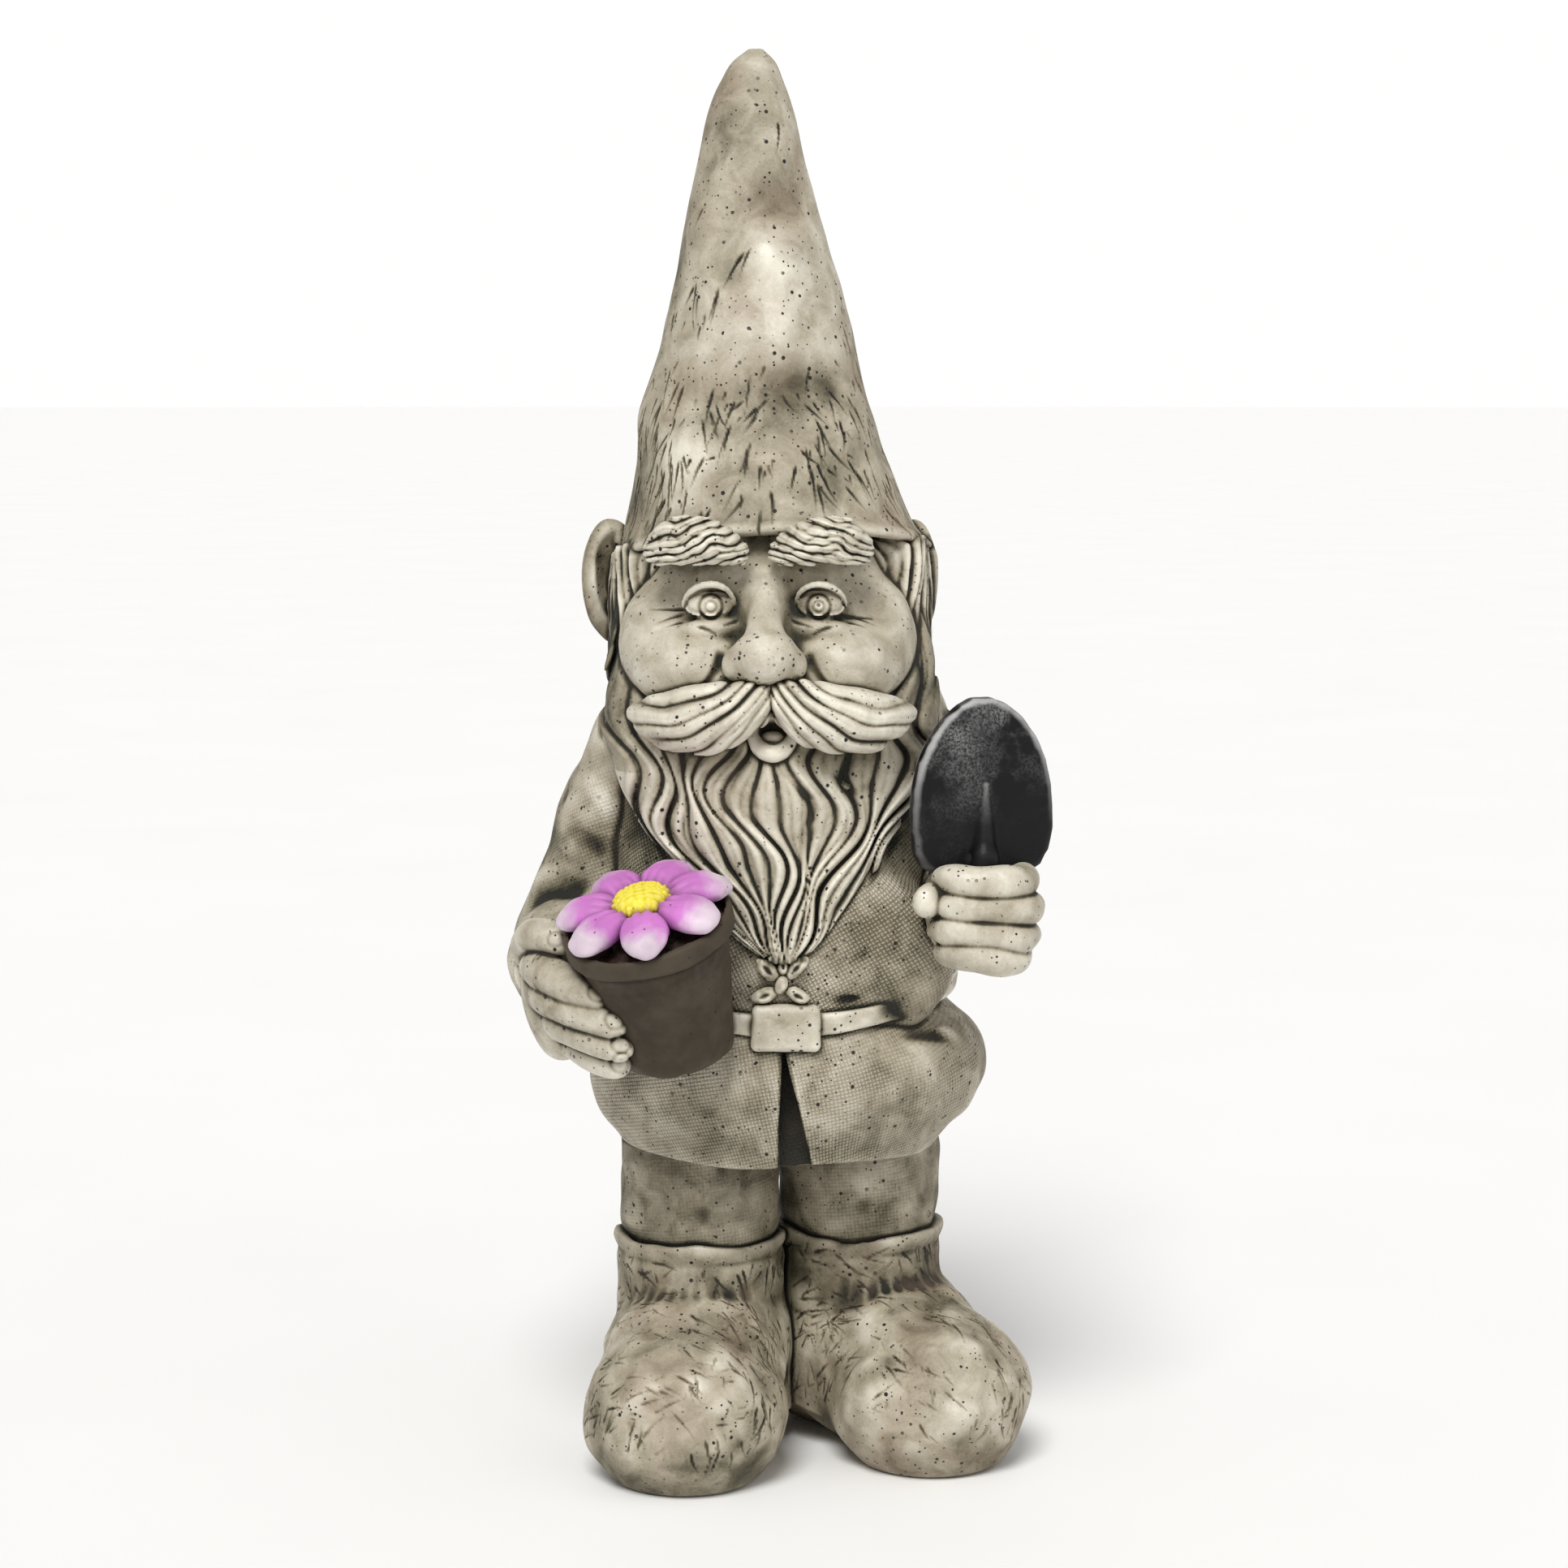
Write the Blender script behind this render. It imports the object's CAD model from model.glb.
"""Looks for the cast-stone garden gnome: carved stone sections, a painted pot with its flower, and a trowel.

Each section is modelled as clay on a grid of distances and then cast as a mesh. Sizes here are in
millimetres from the foot of the figure's standing axis: +X is the gnome's left, -Y the way it faces.
"""

import copy
import math

import bpy
import numpy as np
import openvdb
from mathutils import Euler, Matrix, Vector


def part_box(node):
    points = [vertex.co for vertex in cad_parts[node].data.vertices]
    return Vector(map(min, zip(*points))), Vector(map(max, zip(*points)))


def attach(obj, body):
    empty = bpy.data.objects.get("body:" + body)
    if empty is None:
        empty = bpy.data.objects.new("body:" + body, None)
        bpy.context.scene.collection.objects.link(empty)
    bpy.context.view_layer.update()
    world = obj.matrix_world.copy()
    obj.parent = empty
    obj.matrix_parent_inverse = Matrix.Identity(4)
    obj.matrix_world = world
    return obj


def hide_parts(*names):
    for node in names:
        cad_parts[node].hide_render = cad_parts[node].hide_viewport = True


bl_info = {
    "name": "Cast stone gnome",
    "version": (1, 0, 0),
    "blender": (4, 2, 0),
    "location": "View3D > Sidebar > Gnome",
    "description": "Models the carved sections, the pot and the trowel of a garden gnome",
    "category": "Add Mesh",
}

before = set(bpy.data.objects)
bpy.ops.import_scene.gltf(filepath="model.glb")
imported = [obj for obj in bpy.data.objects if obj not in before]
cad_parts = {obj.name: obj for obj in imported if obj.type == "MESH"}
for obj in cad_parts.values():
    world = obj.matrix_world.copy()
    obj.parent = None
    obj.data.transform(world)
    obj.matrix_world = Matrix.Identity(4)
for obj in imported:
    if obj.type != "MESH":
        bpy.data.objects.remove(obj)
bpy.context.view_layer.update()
MM = 0.001

# The axis that the hat, head and jacket stand on is 2 mm in front of the right leg rod.
ROD_BEHIND_AXIS = 2 * MM
ROD_LOW, ROD_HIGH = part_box("right_leg_rod")
AXIS = Vector((0, (ROD_LOW.y + ROD_HIGH.y) / 2 - ROD_BEHIND_AXIS, 0))
HAT_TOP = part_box("hat")[1].z / MM
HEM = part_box("jacket_skirt")[0].z / MM
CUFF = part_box("right_boot")[1].z / MM

FAR = 20.0  # mm, the distance that stands for "nowhere near"
REACH = 9.0  # mm round a form in which its distances are kept
CAST = {}  # every cast piece by name, with its clay and its points

# how the dark wash and the rubbed parts follow the shape
FINE_WASH = 2.0  # wash per unit of a fine recess
VALLEY_WASH, VALLEY_WASH_MOST = 0.9, 0.42
MARK_WASH, MARK_WASH_MOST = 0.95, 0.85
LIFT_WASH, LIFT_WASH_MOST = 0.6, 0.34
FINE_WEAR, VALLEY_WEAR = 1.3, 0.5
SEAM_WIDTH = 3.2  # mm beside a neighbour that hold wash
SEAM_WASH = 0.85


# ---------------------------------------------------------------- sizes and colours


class GnomeSizes(bpy.types.PropertyGroup):
    strand_depth: bpy.props.FloatProperty(
        name="Lock depth",
        description="How deep the locks of the beard are cut, in mm",
        default=6.5, min=0, max=8
    )
    stroke_depth: bpy.props.FloatProperty(
        name="Stroke depth",
        description="Depth of the short strokes on the hat, in mm",
        default=1.1, min=0, max=3
    )
    scratch_depth: bpy.props.FloatProperty(
        name="Scratch depth",
        description="Depth of the scratches on the boots, in mm",
        default=0.8, min=0, max=2
    )
    weave_pitch: bpy.props.FloatProperty(
        name="Weave pitch",
        description="Spacing of the threads cast into the cloth, in mm",
        default=2.1, min=1, max=6
    )
    fold_depth: bpy.props.FloatProperty(
        name="Fold depth",
        description="Depth of the soft folds in the cloth, in mm",
        default=2.4, min=0, max=8
    )


def tint(name, description, rgb):
    """A colour property. rgb is in ordinary 0 to 255 screen values."""
    return bpy.props.FloatVectorProperty(
        name=name, description=description, subtype="COLOR", size=3, min=0, max=1, default=linear(rgb)
    )


def linear(rgb):
    """Screen values 0 to 255 to linear light."""
    return tuple((c / 255 / 12.92) if c <= 10 else ((c / 255 + 0.055) / 1.055) ** 2.4 for c in rgb)


class GnomeColours(bpy.types.PropertyGroup):
    stone_light: tint("Rubbed stone", "Stone where the wash is rubbed off", (232, 227, 212))
    stone_mid: tint("Stone", "The stone's own colour", (166, 157, 137))
    stone_dark: tint("Stained stone", "Stone that holds a thin wash", (98, 92, 72))
    wash: tint("Wash", "The dark wash left in the recesses", (24, 24, 15))
    pot: tint("Pot", "The pot's brown", (66, 57, 45))
    soil: tint("Soil", "The soil in the pot", (52, 36, 26))
    petal: tint("Petal", "The petals' pink", (212, 128, 208))
    petal_tip: tint("Petal tip", "Pale frosting at the petals' tips", (226, 208, 222))
    flower_eye: tint("Flower eye", "The flower's yellow middle", (250, 232, 70))
    trowel: tint("Trowel", "The trowel's black", (9, 9, 12))
    silver: tint("Silver rub", "Silver rubbed over the trowel", (176, 176, 176))


# ---------------------------------------------------------------- noise


def lattice(i, j, k=0, seed=0):
    """A fixed random value from 0 to 1 for each cell of a lattice."""
    i, j, k = (np.asarray(c).astype(np.int64) for c in (i, j, k))
    h = (i * 73856093) ^ (j * 19349663) ^ (k * 83492791) ^ (seed * 2654435761)
    h = (h ^ (h >> 13)) & 0xFFFFFFFF
    h = (h * 1274126177) & 0xFFFFFFFF
    h = h ^ (h >> 16)
    return (h & 0xFFFFFF).astype(np.float32) / 0xFFFFFF


def ease(t):
    """0 to 1, level at both ends."""
    return t * t * (3 - 2 * t)


def noise(x, y, z, seed=0):
    """Smooth noise from -1 to 1. One step of a coordinate is one lump."""
    x, y, z = np.broadcast_arrays(x, y, z)
    cells = [np.floor(c) for c in (x, y, z)]
    fx, fy, fz = (ease(c - f) for c, f in zip((x, y, z), cells))
    i, j, k = (c.astype(np.int64) for c in cells)
    total = 0
    for a in (0, 1):
        for b in (0, 1):
            for c in (0, 1):
                weight = (fx if a else 1 - fx) * (fy if b else 1 - fy) * (fz if c else 1 - fz)
                total = total + weight * lattice(i + a, j + b, k + c, seed)
    return (total * 2 - 1).astype(np.float32)


def strands(u, v, seed=0):
    """Overlapping locks that taper at both ends: 1 on a crown, 0 in a cleft.

    u counts locks across and v along.
    """
    column = np.floor(u)
    best = np.zeros(np.shape(u), np.float32)
    for side in (-1, 0, 1):
        i = column + side
        along = v + lattice(i, 0, 1, seed)
        row = np.floor(along)
        for back in (0, 1):
            j = row - back
            t = (along - j) / 2
            swell = np.sin(np.pi * np.clip(t, 0, 1))
            middle = i + 0.5 + 0.45 * (lattice(i, j, 2, seed) - 0.5)
            width = 0.66 * swell**0.7 + 0.02
            across = (u - middle) / width
            crown = np.clip(1 - across * across, 0, 1) ** 0.8 * (0.4 + 0.6 * swell)
            best = np.maximum(best, crown * (0.68 + 0.32 * lattice(i, j, 3, seed)))
    return best


def unit(vector):
    vector = np.array(vector, float)
    return vector / np.linalg.norm(vector)


def hump(distance, width):
    """1 at distance 0, fading smoothly to 0 over about twice the width."""
    return np.exp(-((distance / width) ** 2))


def swells(height, size, seed):
    """Soft random swells of that height in mm. size is one lump's size, or its sizes along X, Y and Z."""
    wide, deep, tall = np.broadcast_to(size, 3).tolist()
    return lambda x, y, z: height * noise(x / wide, y / deep, z / tall, seed)


# ---------------------------------------------------------------- clay


def join(a, b, soft):
    """The union of two forms, with a fillet of that many mm."""
    if soft <= 0:
        return np.minimum(a, b)
    h = np.clip(0.5 + 0.5 * (b - a) / soft, 0, 1)
    return b + (a - b) * h - soft * h * (1 - h)


class Clay:
    """A block of clay: at each grid point the distance in mm to the surface, below 0 inside."""

    def __init__(self, low, high, step):
        self.low = np.array(low, np.float32)
        self.step = float(step)
        self.tones = []
        self.axes = []
        for a, b in zip(low, high):
            count = int(math.ceil((b - a) / step)) + 1
            self.axes.append((a + step * np.arange(count)).astype(np.float32))
        self.d = np.full([len(axis) for axis in self.axes], FAR, np.float32)

    def blank(self):
        """An empty block on the same grid."""
        other = copy.copy(self)
        other.d = np.full_like(self.d, FAR)
        return other

    def near(self, low, high, reach=REACH):
        """The part of the grid within reach of a box, as slices and as its x, y and z."""
        spans = []
        for axis, a, b in zip(self.axes, low, high):
            spans.append(slice(*np.searchsorted(axis, (a - reach, b + reach))))
        x, y, z = (axis[s] for axis, s in zip(self.axes, spans))
        return tuple(spans), (x[:, None, None], y[None, :, None], z[None, None, :])

    def add(self, form, soft=1.0):
        """Joins a form to the clay, with a fillet of soft mm."""
        low, high, distance = form
        spans, place = self.near(low, high, REACH + soft)
        if min(len(c.ravel()) for c in place):
            self.d[spans] = join(self.d[spans], distance(*place), soft)

    def cut(self, form, soft=1.0):
        """Cuts a form out of the clay, with an edge rounded by soft mm."""
        low, high, distance = form
        spans, place = self.near(low, high, REACH + soft)
        if min(len(c.ravel()) for c in place):
            self.d[spans] = -join(-self.d[spans], distance(*place), soft)

    def grid(self):
        """x, y and z of every grid point, each along its own axis."""
        x, y, z = self.axes
        return x[:, None, None], y[None, :, None], z[None, None, :]

    def fill(self, distance):
        """Sets the clay from one function over the whole block."""
        self.d = (distance(*self.grid()) + np.zeros_like(self.d)).astype(np.float32)

    def trim(self, distance, soft=0.5):
        """Keeps only the clay where distance, a function of x, y and z, is below 0."""
        self.d = -join(-self.d, -distance(*self.grid()), soft)

    def run(self, points, soft):
        """Adds bars from point to point."""
        for start, end in zip(points, points[1:]):
            self.add(bar(start, end), soft)

    def relief(self, height, reach=REACH, tone=0.0):
        """Raises the surface by height(x, y, z) mm. tone says how much paler a raised mm is."""
        spots = np.nonzero(np.abs(self.d) < reach)
        places = [axis[s] for axis, s in zip(self.axes, spots)]
        self.d[spots] -= height(*places).astype(np.float32)
        if tone:
            self.tones.append((tone, height))

    def lift(self, points):
        """How much paler, or darker below 0, the reliefs make each point."""
        total = np.zeros(len(points), np.float32)
        for tone, height in self.tones:
            total += tone * height(*points.T)
        return total

    def read(self, points, field=None):
        """The distance at each point, far where the point is outside the block."""
        field = self.d if field is None else field
        g = (points - self.low) / self.step
        size = np.array(self.d.shape)
        inside = np.all((g >= 0) & (g < size - 1), axis=1)
        out = np.full(len(points), FAR, np.float32)
        g = g[inside]
        cell = np.floor(g).astype(np.int64)
        f = (g - cell).astype(np.float32)
        total = 0
        for a in (0, 1):
            for b in (0, 1):
                for c in (0, 1):
                    weight = np.abs(1 - a - f[:, 0]) * np.abs(1 - b - f[:, 1]) * np.abs(1 - c - f[:, 2])
                    total = total + weight * field[cell[:, 0] + a, cell[:, 1] + b, cell[:, 2] + c]
        out[inside] = total
        return out

    def outward(self, points):
        """The unit normal at each point."""
        slope = np.empty_like(points)
        for axis in range(3):
            shift = np.zeros(3, np.float32)
            shift[axis] = self.step
            slope[:, axis] = self.read(points + shift) - self.read(points - shift)
        return slope / np.maximum(np.linalg.norm(slope, axis=1, keepdims=True), 1e-6)

    def hollowness(self, points, radius):
        """How far each point lies in a recess that wide: above 0 in a recess, below 0 on an edge."""
        field = np.clip(self.d, -2 * radius, 2 * radius)
        half = max(1, int(round(radius / self.step)))
        for axis in range(3):
            for _ in range(2):
                field = smear(field, half, axis)
        return -self.read(points, field) / radius

    def surface(self):
        """Points in mm, triangles and quads of the surface."""
        for axis in range(3):
            for end in (0, -1):
                edge = [slice(None)] * 3
                edge[axis] = end
                self.d[tuple(edge)] = np.maximum(self.d[tuple(edge)], self.step)
        grid = openvdb.FloatGrid(FAR)
        grid.copyFromArray(np.ascontiguousarray(self.d, np.float32))
        points, triangles, quads = grid.convertToPolygons(isovalue=0.0, adaptivity=0.0)
        return self.low + self.step * points.astype(np.float32), triangles, quads


def smear(field, half, axis):
    """A running mean over 2 * half + 1 grid points."""
    width = 2 * half + 1
    pads = [(0, 0)] * 3
    pads[axis] = (half + 1, half)
    total = np.cumsum(np.pad(field, pads, mode="edge"), axis=axis, dtype=np.float64)
    upper, lower = [slice(None)] * 3, [slice(None)] * 3
    upper[axis], lower[axis] = slice(width, None), slice(0, -width)
    return ((total[tuple(upper)] - total[tuple(lower)]) / width).astype(np.float32)


# ---------------------------------------------------------------- forms


def egg(centre, radii, turn=(0, 0, 0)):
    """An ellipsoid. turn is in degrees about X, Y and Z."""
    c, r = np.array(centre, float), np.array(radii, float)
    m = np.array(Euler([math.radians(t) for t in turn]).to_matrix())
    reach = np.abs(m) @ r

    def distance(x, y, z):
        w = (x - c[0], y - c[1], z - c[2])
        local = [m[0, i] * w[0] + m[1, i] * w[1] + m[2, i] * w[2] for i in range(3)]
        a = np.sqrt(sum((p / q) ** 2 for p, q in zip(local, r)))
        b = np.sqrt(sum((p / q**2) ** 2 for p, q in zip(local, r)))
        return a * (a - 1) / np.maximum(b, 1e-4)

    return c - reach, c + reach, distance


def bar(start, end):
    """A round bar with ball ends, between two x, y, z, radius."""
    a, b = np.array(start, float), np.array(end, float)
    run = b[:3] - a[:3]
    low = np.minimum(a[:3] - a[3], b[:3] - b[3])
    high = np.maximum(a[:3] + a[3], b[:3] + b[3])

    def distance(x, y, z):
        wx, wy, wz = x - a[0], y - a[1], z - a[2]
        t = np.clip((wx * run[0] + wy * run[1] + wz * run[2]) / max(run @ run, 1e-6), 0, 1)
        gap = np.sqrt((wx - t * run[0]) ** 2 + (wy - t * run[1]) ** 2 + (wz - t * run[2]) ** 2)
        return gap - (a[3] + (b[3] - a[3]) * t)

    return low, high, distance


def block(centre, half, corner, turn=(0, 0, 0)):
    """A box with rounded corners."""
    c, h = np.array(centre, float), np.array(half, float) - corner
    m = np.array(Euler([math.radians(t) for t in turn]).to_matrix())
    reach = np.abs(m) @ (h + corner)

    def distance(x, y, z):
        w = (x - c[0], y - c[1], z - c[2])
        q = [np.abs(m[0, i] * w[0] + m[1, i] * w[1] + m[2, i] * w[2]) - h[i] for i in range(3)]
        outside = np.sqrt(sum(np.maximum(p, 0) ** 2 for p in q))
        return outside + np.minimum(np.maximum(np.maximum(q[0], q[1]), q[2]), 0) - corner

    return c - reach, c + reach, distance


def smooth_curve(knots, values, at):
    """A curve through the values at the knots, with no overshoot at its ends."""
    knots, values = np.array(knots, float), np.array(values, float)
    slopes = np.gradient(values, knots)
    i = np.clip(np.searchsorted(knots, at) - 1, 0, len(knots) - 2)
    width = knots[i + 1] - knots[i]
    t = np.clip((at - knots[i]) / width, 0, 1)
    a, b = values[i], values[i + 1]
    return (
        (1 + 2 * t) * (1 - t) ** 2 * a
        + t * (1 - t) ** 2 * width * slopes[i]
        + t * t * (3 - 2 * t) * b
        + t * t * (t - 1) * width * slopes[i + 1]
    )


def stack(rings):
    """A body of level ovals: z, x, y, half width, half depth."""
    rings = np.array(sorted(rings), float)
    z0, z1 = rings[0, 0], rings[-1, 0]
    wide = rings[:, 3:].max()
    low = (rings[:, 1].min() - wide, rings[:, 2].min() - wide, z0)
    high = (rings[:, 1].max() + wide, rings[:, 2].max() + wide, z1)

    def distance(x, y, z):
        cx, cy, w, h = (smooth_curve(rings[:, 0], rings[:, i], z).astype(np.float32) for i in (1, 2, 3, 4))
        w, h = np.maximum(w, 1), np.maximum(h, 1)
        level = z.ravel()
        tilt = np.gradient(w.ravel(), level).reshape(z.shape) if len(level) > 1 else 0
        side = (np.sqrt(((x - cx) / w) ** 2 + ((y - cy) / h) ** 2) - 1) * np.minimum(w, h)
        return np.maximum(side / np.sqrt(1 + tilt**2), np.maximum(z0 - z, z - z1))

    return np.array(low), np.array(high), distance


def curve(points, steps=5):
    """A smooth line through points. Each point may hold a radius or any other number after x, y and z."""
    p = np.array([points[0], *points, points[-1]], float)
    out = []
    for a, b, c, d in zip(p, p[1:], p[2:], p[3:]):
        for t in np.arange(steps) / steps:
            bend = 2 * a - 5 * b + 4 * c - d + t * (3 * (b - c) + d - a)
            out.append(tuple(b + 0.5 * t * (c - a + t * bend)))
    return [*out, tuple(p[-1])]


# ---------------------------------------------------------------- casting


def scratch_depth(points, marks):
    """How deep each point lies in the carved marks, in mm.

    A mark is its start, its way along and out of the surface, and its length, width, depth and bend.
    """
    order = np.argsort(points[:, 2])
    heights = points[order, 2]
    depth = np.zeros(len(points), np.float32)
    for start, along, out, length, width, deep, bend in marks:
        span = np.searchsorted(heights, (start[2] - length - 2, start[2] + length + 2))
        near = order[span[0] : span[1]]
        w = points[near] - start
        a = w @ along / length
        b = w @ np.cross(out, along) - bend * length * a * a
        inside = (a > 0) & (a < 1) & (np.abs(w @ out) < 5)
        taper = np.clip(np.minimum(a * 6, (1 - a) * 1.4), 0, 1)
        groove = np.clip(1 - (b / (width * (0.45 + 0.55 * taper))) ** 2, 0, 1) * taper * deep
        depth[near] = np.maximum(depth[near], np.where(inside, groove, 0))
    return depth


def random_marks(points, normals, count, flow, seed, lengths, widths, depth, where, swing=0.25):
    """Short strokes at random places.

    flow(point, rng) is the way they run, and where(points, normals) picks the points they may start at.
    """
    rng = np.random.default_rng(seed)
    allowed = np.nonzero(where(points, normals))[0]
    marks = []
    for index in rng.choice(allowed, min(count, len(allowed)), replace=False):
        point, out = points[index], normals[index]
        run = flow(point, rng)
        run = run - out * (run @ out)
        along = run / max(np.linalg.norm(run), 1e-6)
        turn = rng.normal(0, swing)
        along = along * math.cos(turn) + np.cross(out, along) * math.sin(turn)
        deep = depth * rng.uniform(0.4, 1)
        length, width = rng.uniform(*lengths), rng.uniform(*widths)
        marks.append((point, along, out, length, width, deep, rng.normal(0, 0.18)))
    return marks


def build_mesh(name, points, triangles, quads, values):
    """A smooth mesh from points in mm, with one number per point for each named value."""
    mesh = bpy.data.meshes.new(name)
    corners = np.concatenate([np.asarray(quads).ravel(), np.asarray(triangles).ravel()]).astype(np.int32)
    counts = np.concatenate([np.full(len(quads), 4), np.full(len(triangles), 3)]).astype(np.int32)
    starts = np.concatenate([[0], np.cumsum(counts)[:-1]]).astype(np.int32)
    placed = points * MM + np.array(AXIS, np.float32)
    mesh.vertices.add(len(points))
    mesh.vertices.foreach_set("co", placed.astype(np.float32).ravel())
    mesh.loops.add(len(corners))
    mesh.loops.foreach_set("vertex_index", corners)
    mesh.polygons.add(len(counts))
    mesh.polygons.foreach_set("loop_start", starts)
    mesh.update(calc_edges=True)
    mesh.polygons.foreach_set("use_smooth", np.ones(len(counts), bool))
    for key, value in values.items():
        kind = "FLOAT_VECTOR" if value.ndim == 2 else "FLOAT"
        attribute = mesh.attributes.new(key, kind, "POINT")
        attribute.data.foreach_set("vector" if value.ndim == 2 else "value", value.astype(np.float32).ravel())
    mesh.validate()
    return mesh


def place(name, mesh, material, slot, nodes):
    """Puts a finished mesh in the scene in place of its CAD nodes."""
    piece = bpy.data.objects.new(name, mesh)
    bpy.context.scene.collection.objects.link(piece)
    mesh.materials.append(material)
    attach(piece, "root")
    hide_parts(*nodes)
    return piece


def cast(
    name, clay, material, slot, nodes, marks=None, extra=None, fine=1.8, broad=6.0, strength=1.0, stain=None
):
    """Turns clay into a mesh that stands in for its CAD nodes.

    marks(points, normals) gives strokes to carve, extra(points) more values to store, and stain(points) more
    wash. fine and broad are the widths in mm of the recesses that hold wash, and strength scales all of it.
    """
    points, triangles, quads = clay.surface()
    normals = clay.outward(points)
    recess = clay.hollowness(points, fine)
    valley = clay.hollowness(points, broad)
    lift = clay.lift(points)
    carved = np.zeros(len(points), np.float32)
    if marks is not None:
        carved = scratch_depth(points, marks(points, normals))
        points = points - normals * carved[:, None]
    wash = np.clip(recess * FINE_WASH - 0.06, 0, 1)
    wash = wash + np.clip(valley * VALLEY_WASH - 0.05, 0, VALLEY_WASH_MOST)
    wash = wash + np.clip(carved * MARK_WASH, 0, MARK_WASH_MOST)
    wash = wash + np.clip(-LIFT_WASH * lift, 0, LIFT_WASH_MOST)
    if stain is not None:
        wash = wash + stain(points)
    worn = np.clip(-recess * FINE_WEAR - valley * VALLEY_WEAR - 0.02, 0, 1) + np.clip(lift, 0, 1)
    worn = worn * (carved < 0.1) * np.clip(1 - 1.5 * wash, 0, 1)
    values = {"wash": np.clip(wash * strength, 0, 1), "worn": np.clip(worn, 0, 1)}
    if extra is not None:
        values.update(extra(points))
    mesh = build_mesh(name, points, triangles, quads, values)
    piece = place(name, mesh, material, slot, nodes)
    CAST[name] = (piece, clay, points)
    return piece


def settle_wash():
    """Adds wash where one section meets another."""
    for name, (piece, clay, points) in CAST.items():
        low, high = points.min(0), points.max(0)
        nearest = np.full(len(points), FAR, np.float32)
        for other, (_, neighbour, _) in CAST.items():
            ends = [axis[-1] for axis in neighbour.axes]
            if other == name or np.any(neighbour.low > high) or np.any(np.array(ends) < low):
                continue
            nearest = np.minimum(nearest, np.abs(neighbour.read(points)))
        attribute = piece.data.attributes["wash"]
        wash = np.empty(len(points), np.float32)
        attribute.data.foreach_get("value", wash)
        seam = np.clip(1 - nearest / SEAM_WIDTH, 0, 1) ** 1.3
        attribute.data.foreach_set("value", np.clip(wash + SEAM_WASH * seam, 0, 1))
        piece.data.update()


# ---------------------------------------------------------------- materials


class Nodes:
    """Short ways to wire one material."""

    def __init__(self, name):
        self.material = bpy.data.materials.get(name) or bpy.data.materials.new(name)
        self.material.use_nodes = True
        self.tree = self.material.node_tree
        self.tree.nodes.clear()

    def node(self, kind, settings=None, **inputs):
        made = self.tree.nodes.new(kind)
        for key, value in (settings or {}).items():
            setattr(made, key, value)
        for key, value in inputs.items():
            self.feed(made.inputs[key], value)
        return made

    def feed(self, socket, value):
        if isinstance(value, bpy.types.NodeSocket):
            self.tree.links.new(value, socket)
        elif socket.type == "RGBA" and len(value) == 3:
            socket.default_value = (*value, 1)
        else:
            socket.default_value = value

    def math(self, operation, a, b=0.0, clamp=False):
        made = self.node("ShaderNodeMath", {"operation": operation, "use_clamp": clamp})
        self.feed(made.inputs[0], a)
        if made.inputs[1].enabled:
            self.feed(made.inputs[1], b)
        return made.outputs[0]

    def add(self, a, b):
        return self.math("ADD", a, b)

    def scale(self, a, factor):
        return self.math("MULTIPLY", a, factor)

    def mix(self, factor, a, b):
        made = self.node("ShaderNodeMix", {"data_type": "RGBA"})
        self.feed(made.inputs[0], factor)
        self.feed(made.inputs[6], a)
        self.feed(made.inputs[7], b)
        return made.outputs[2]

    def value(self, name):
        return self.node("ShaderNodeAttribute", {"attribute_name": name}).outputs["Fac"]

    def place(self):
        return self.node("ShaderNodeTexCoord").outputs["Object"]

    def lumps(self, scale, detail=3.0, roughness=0.55, distortion=0.0):
        made = self.node(
            "ShaderNodeTexNoise", None, Vector=self.place(), Scale=scale, Detail=detail, Roughness=roughness,
            Distortion=distortion,
        )
        return made.outputs["Fac"]

    def ramp(self, value, stops):
        made = self.node("ShaderNodeValToRGB", None, Fac=value)
        elements = made.color_ramp.elements
        while len(elements) < len(stops):
            elements.new(0.5)
        for element, (position, colour) in zip(elements, stops):
            element.position = position
            element.color = (*colour, 1) if hasattr(colour, "__len__") else (colour, colour, colour, 1)
        return made.outputs[0]

    def pits(self, scale, size, share):
        """1 in scattered round pits, 0 between them."""
        cell = self.node("ShaderNodeTexVoronoi", None, Vector=self.place(), Scale=scale)
        pick = self.node("ShaderNodeSeparateColor", None, Color=cell.outputs["Color"])
        radius = self.scale(self.math("SUBTRACT", pick.outputs[0], 1 - share, True), size / share)
        inside = self.math("SUBTRACT", radius, cell.outputs["Distance"], True)
        return self.math("MULTIPLY", inside, 14.0, True)

    def bump(self, height, distance, strength=1.0, under=None):
        made = self.node("ShaderNodeBump", None, Height=height, Distance=distance, Strength=strength)
        if under is not None:
            self.feed(made.inputs["Normal"], under)
        return made.outputs[0]

    def surface(self, colour, roughness, normal, specular=0.4):
        made = self.node("ShaderNodeBsdfPrincipled")
        made.inputs["Specular IOR Level"].default_value = specular
        self.feed(made.inputs["Base Color"], colour)
        self.feed(made.inputs["Roughness"], roughness)
        self.feed(made.inputs["Normal"], normal)
        out = self.node("ShaderNodeOutputMaterial")
        self.tree.links.new(made.outputs[0], out.inputs[0])
        return self.material


def colour(name):
    return tuple(getattr(bpy.context.scene.gnome_colours, name))


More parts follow.
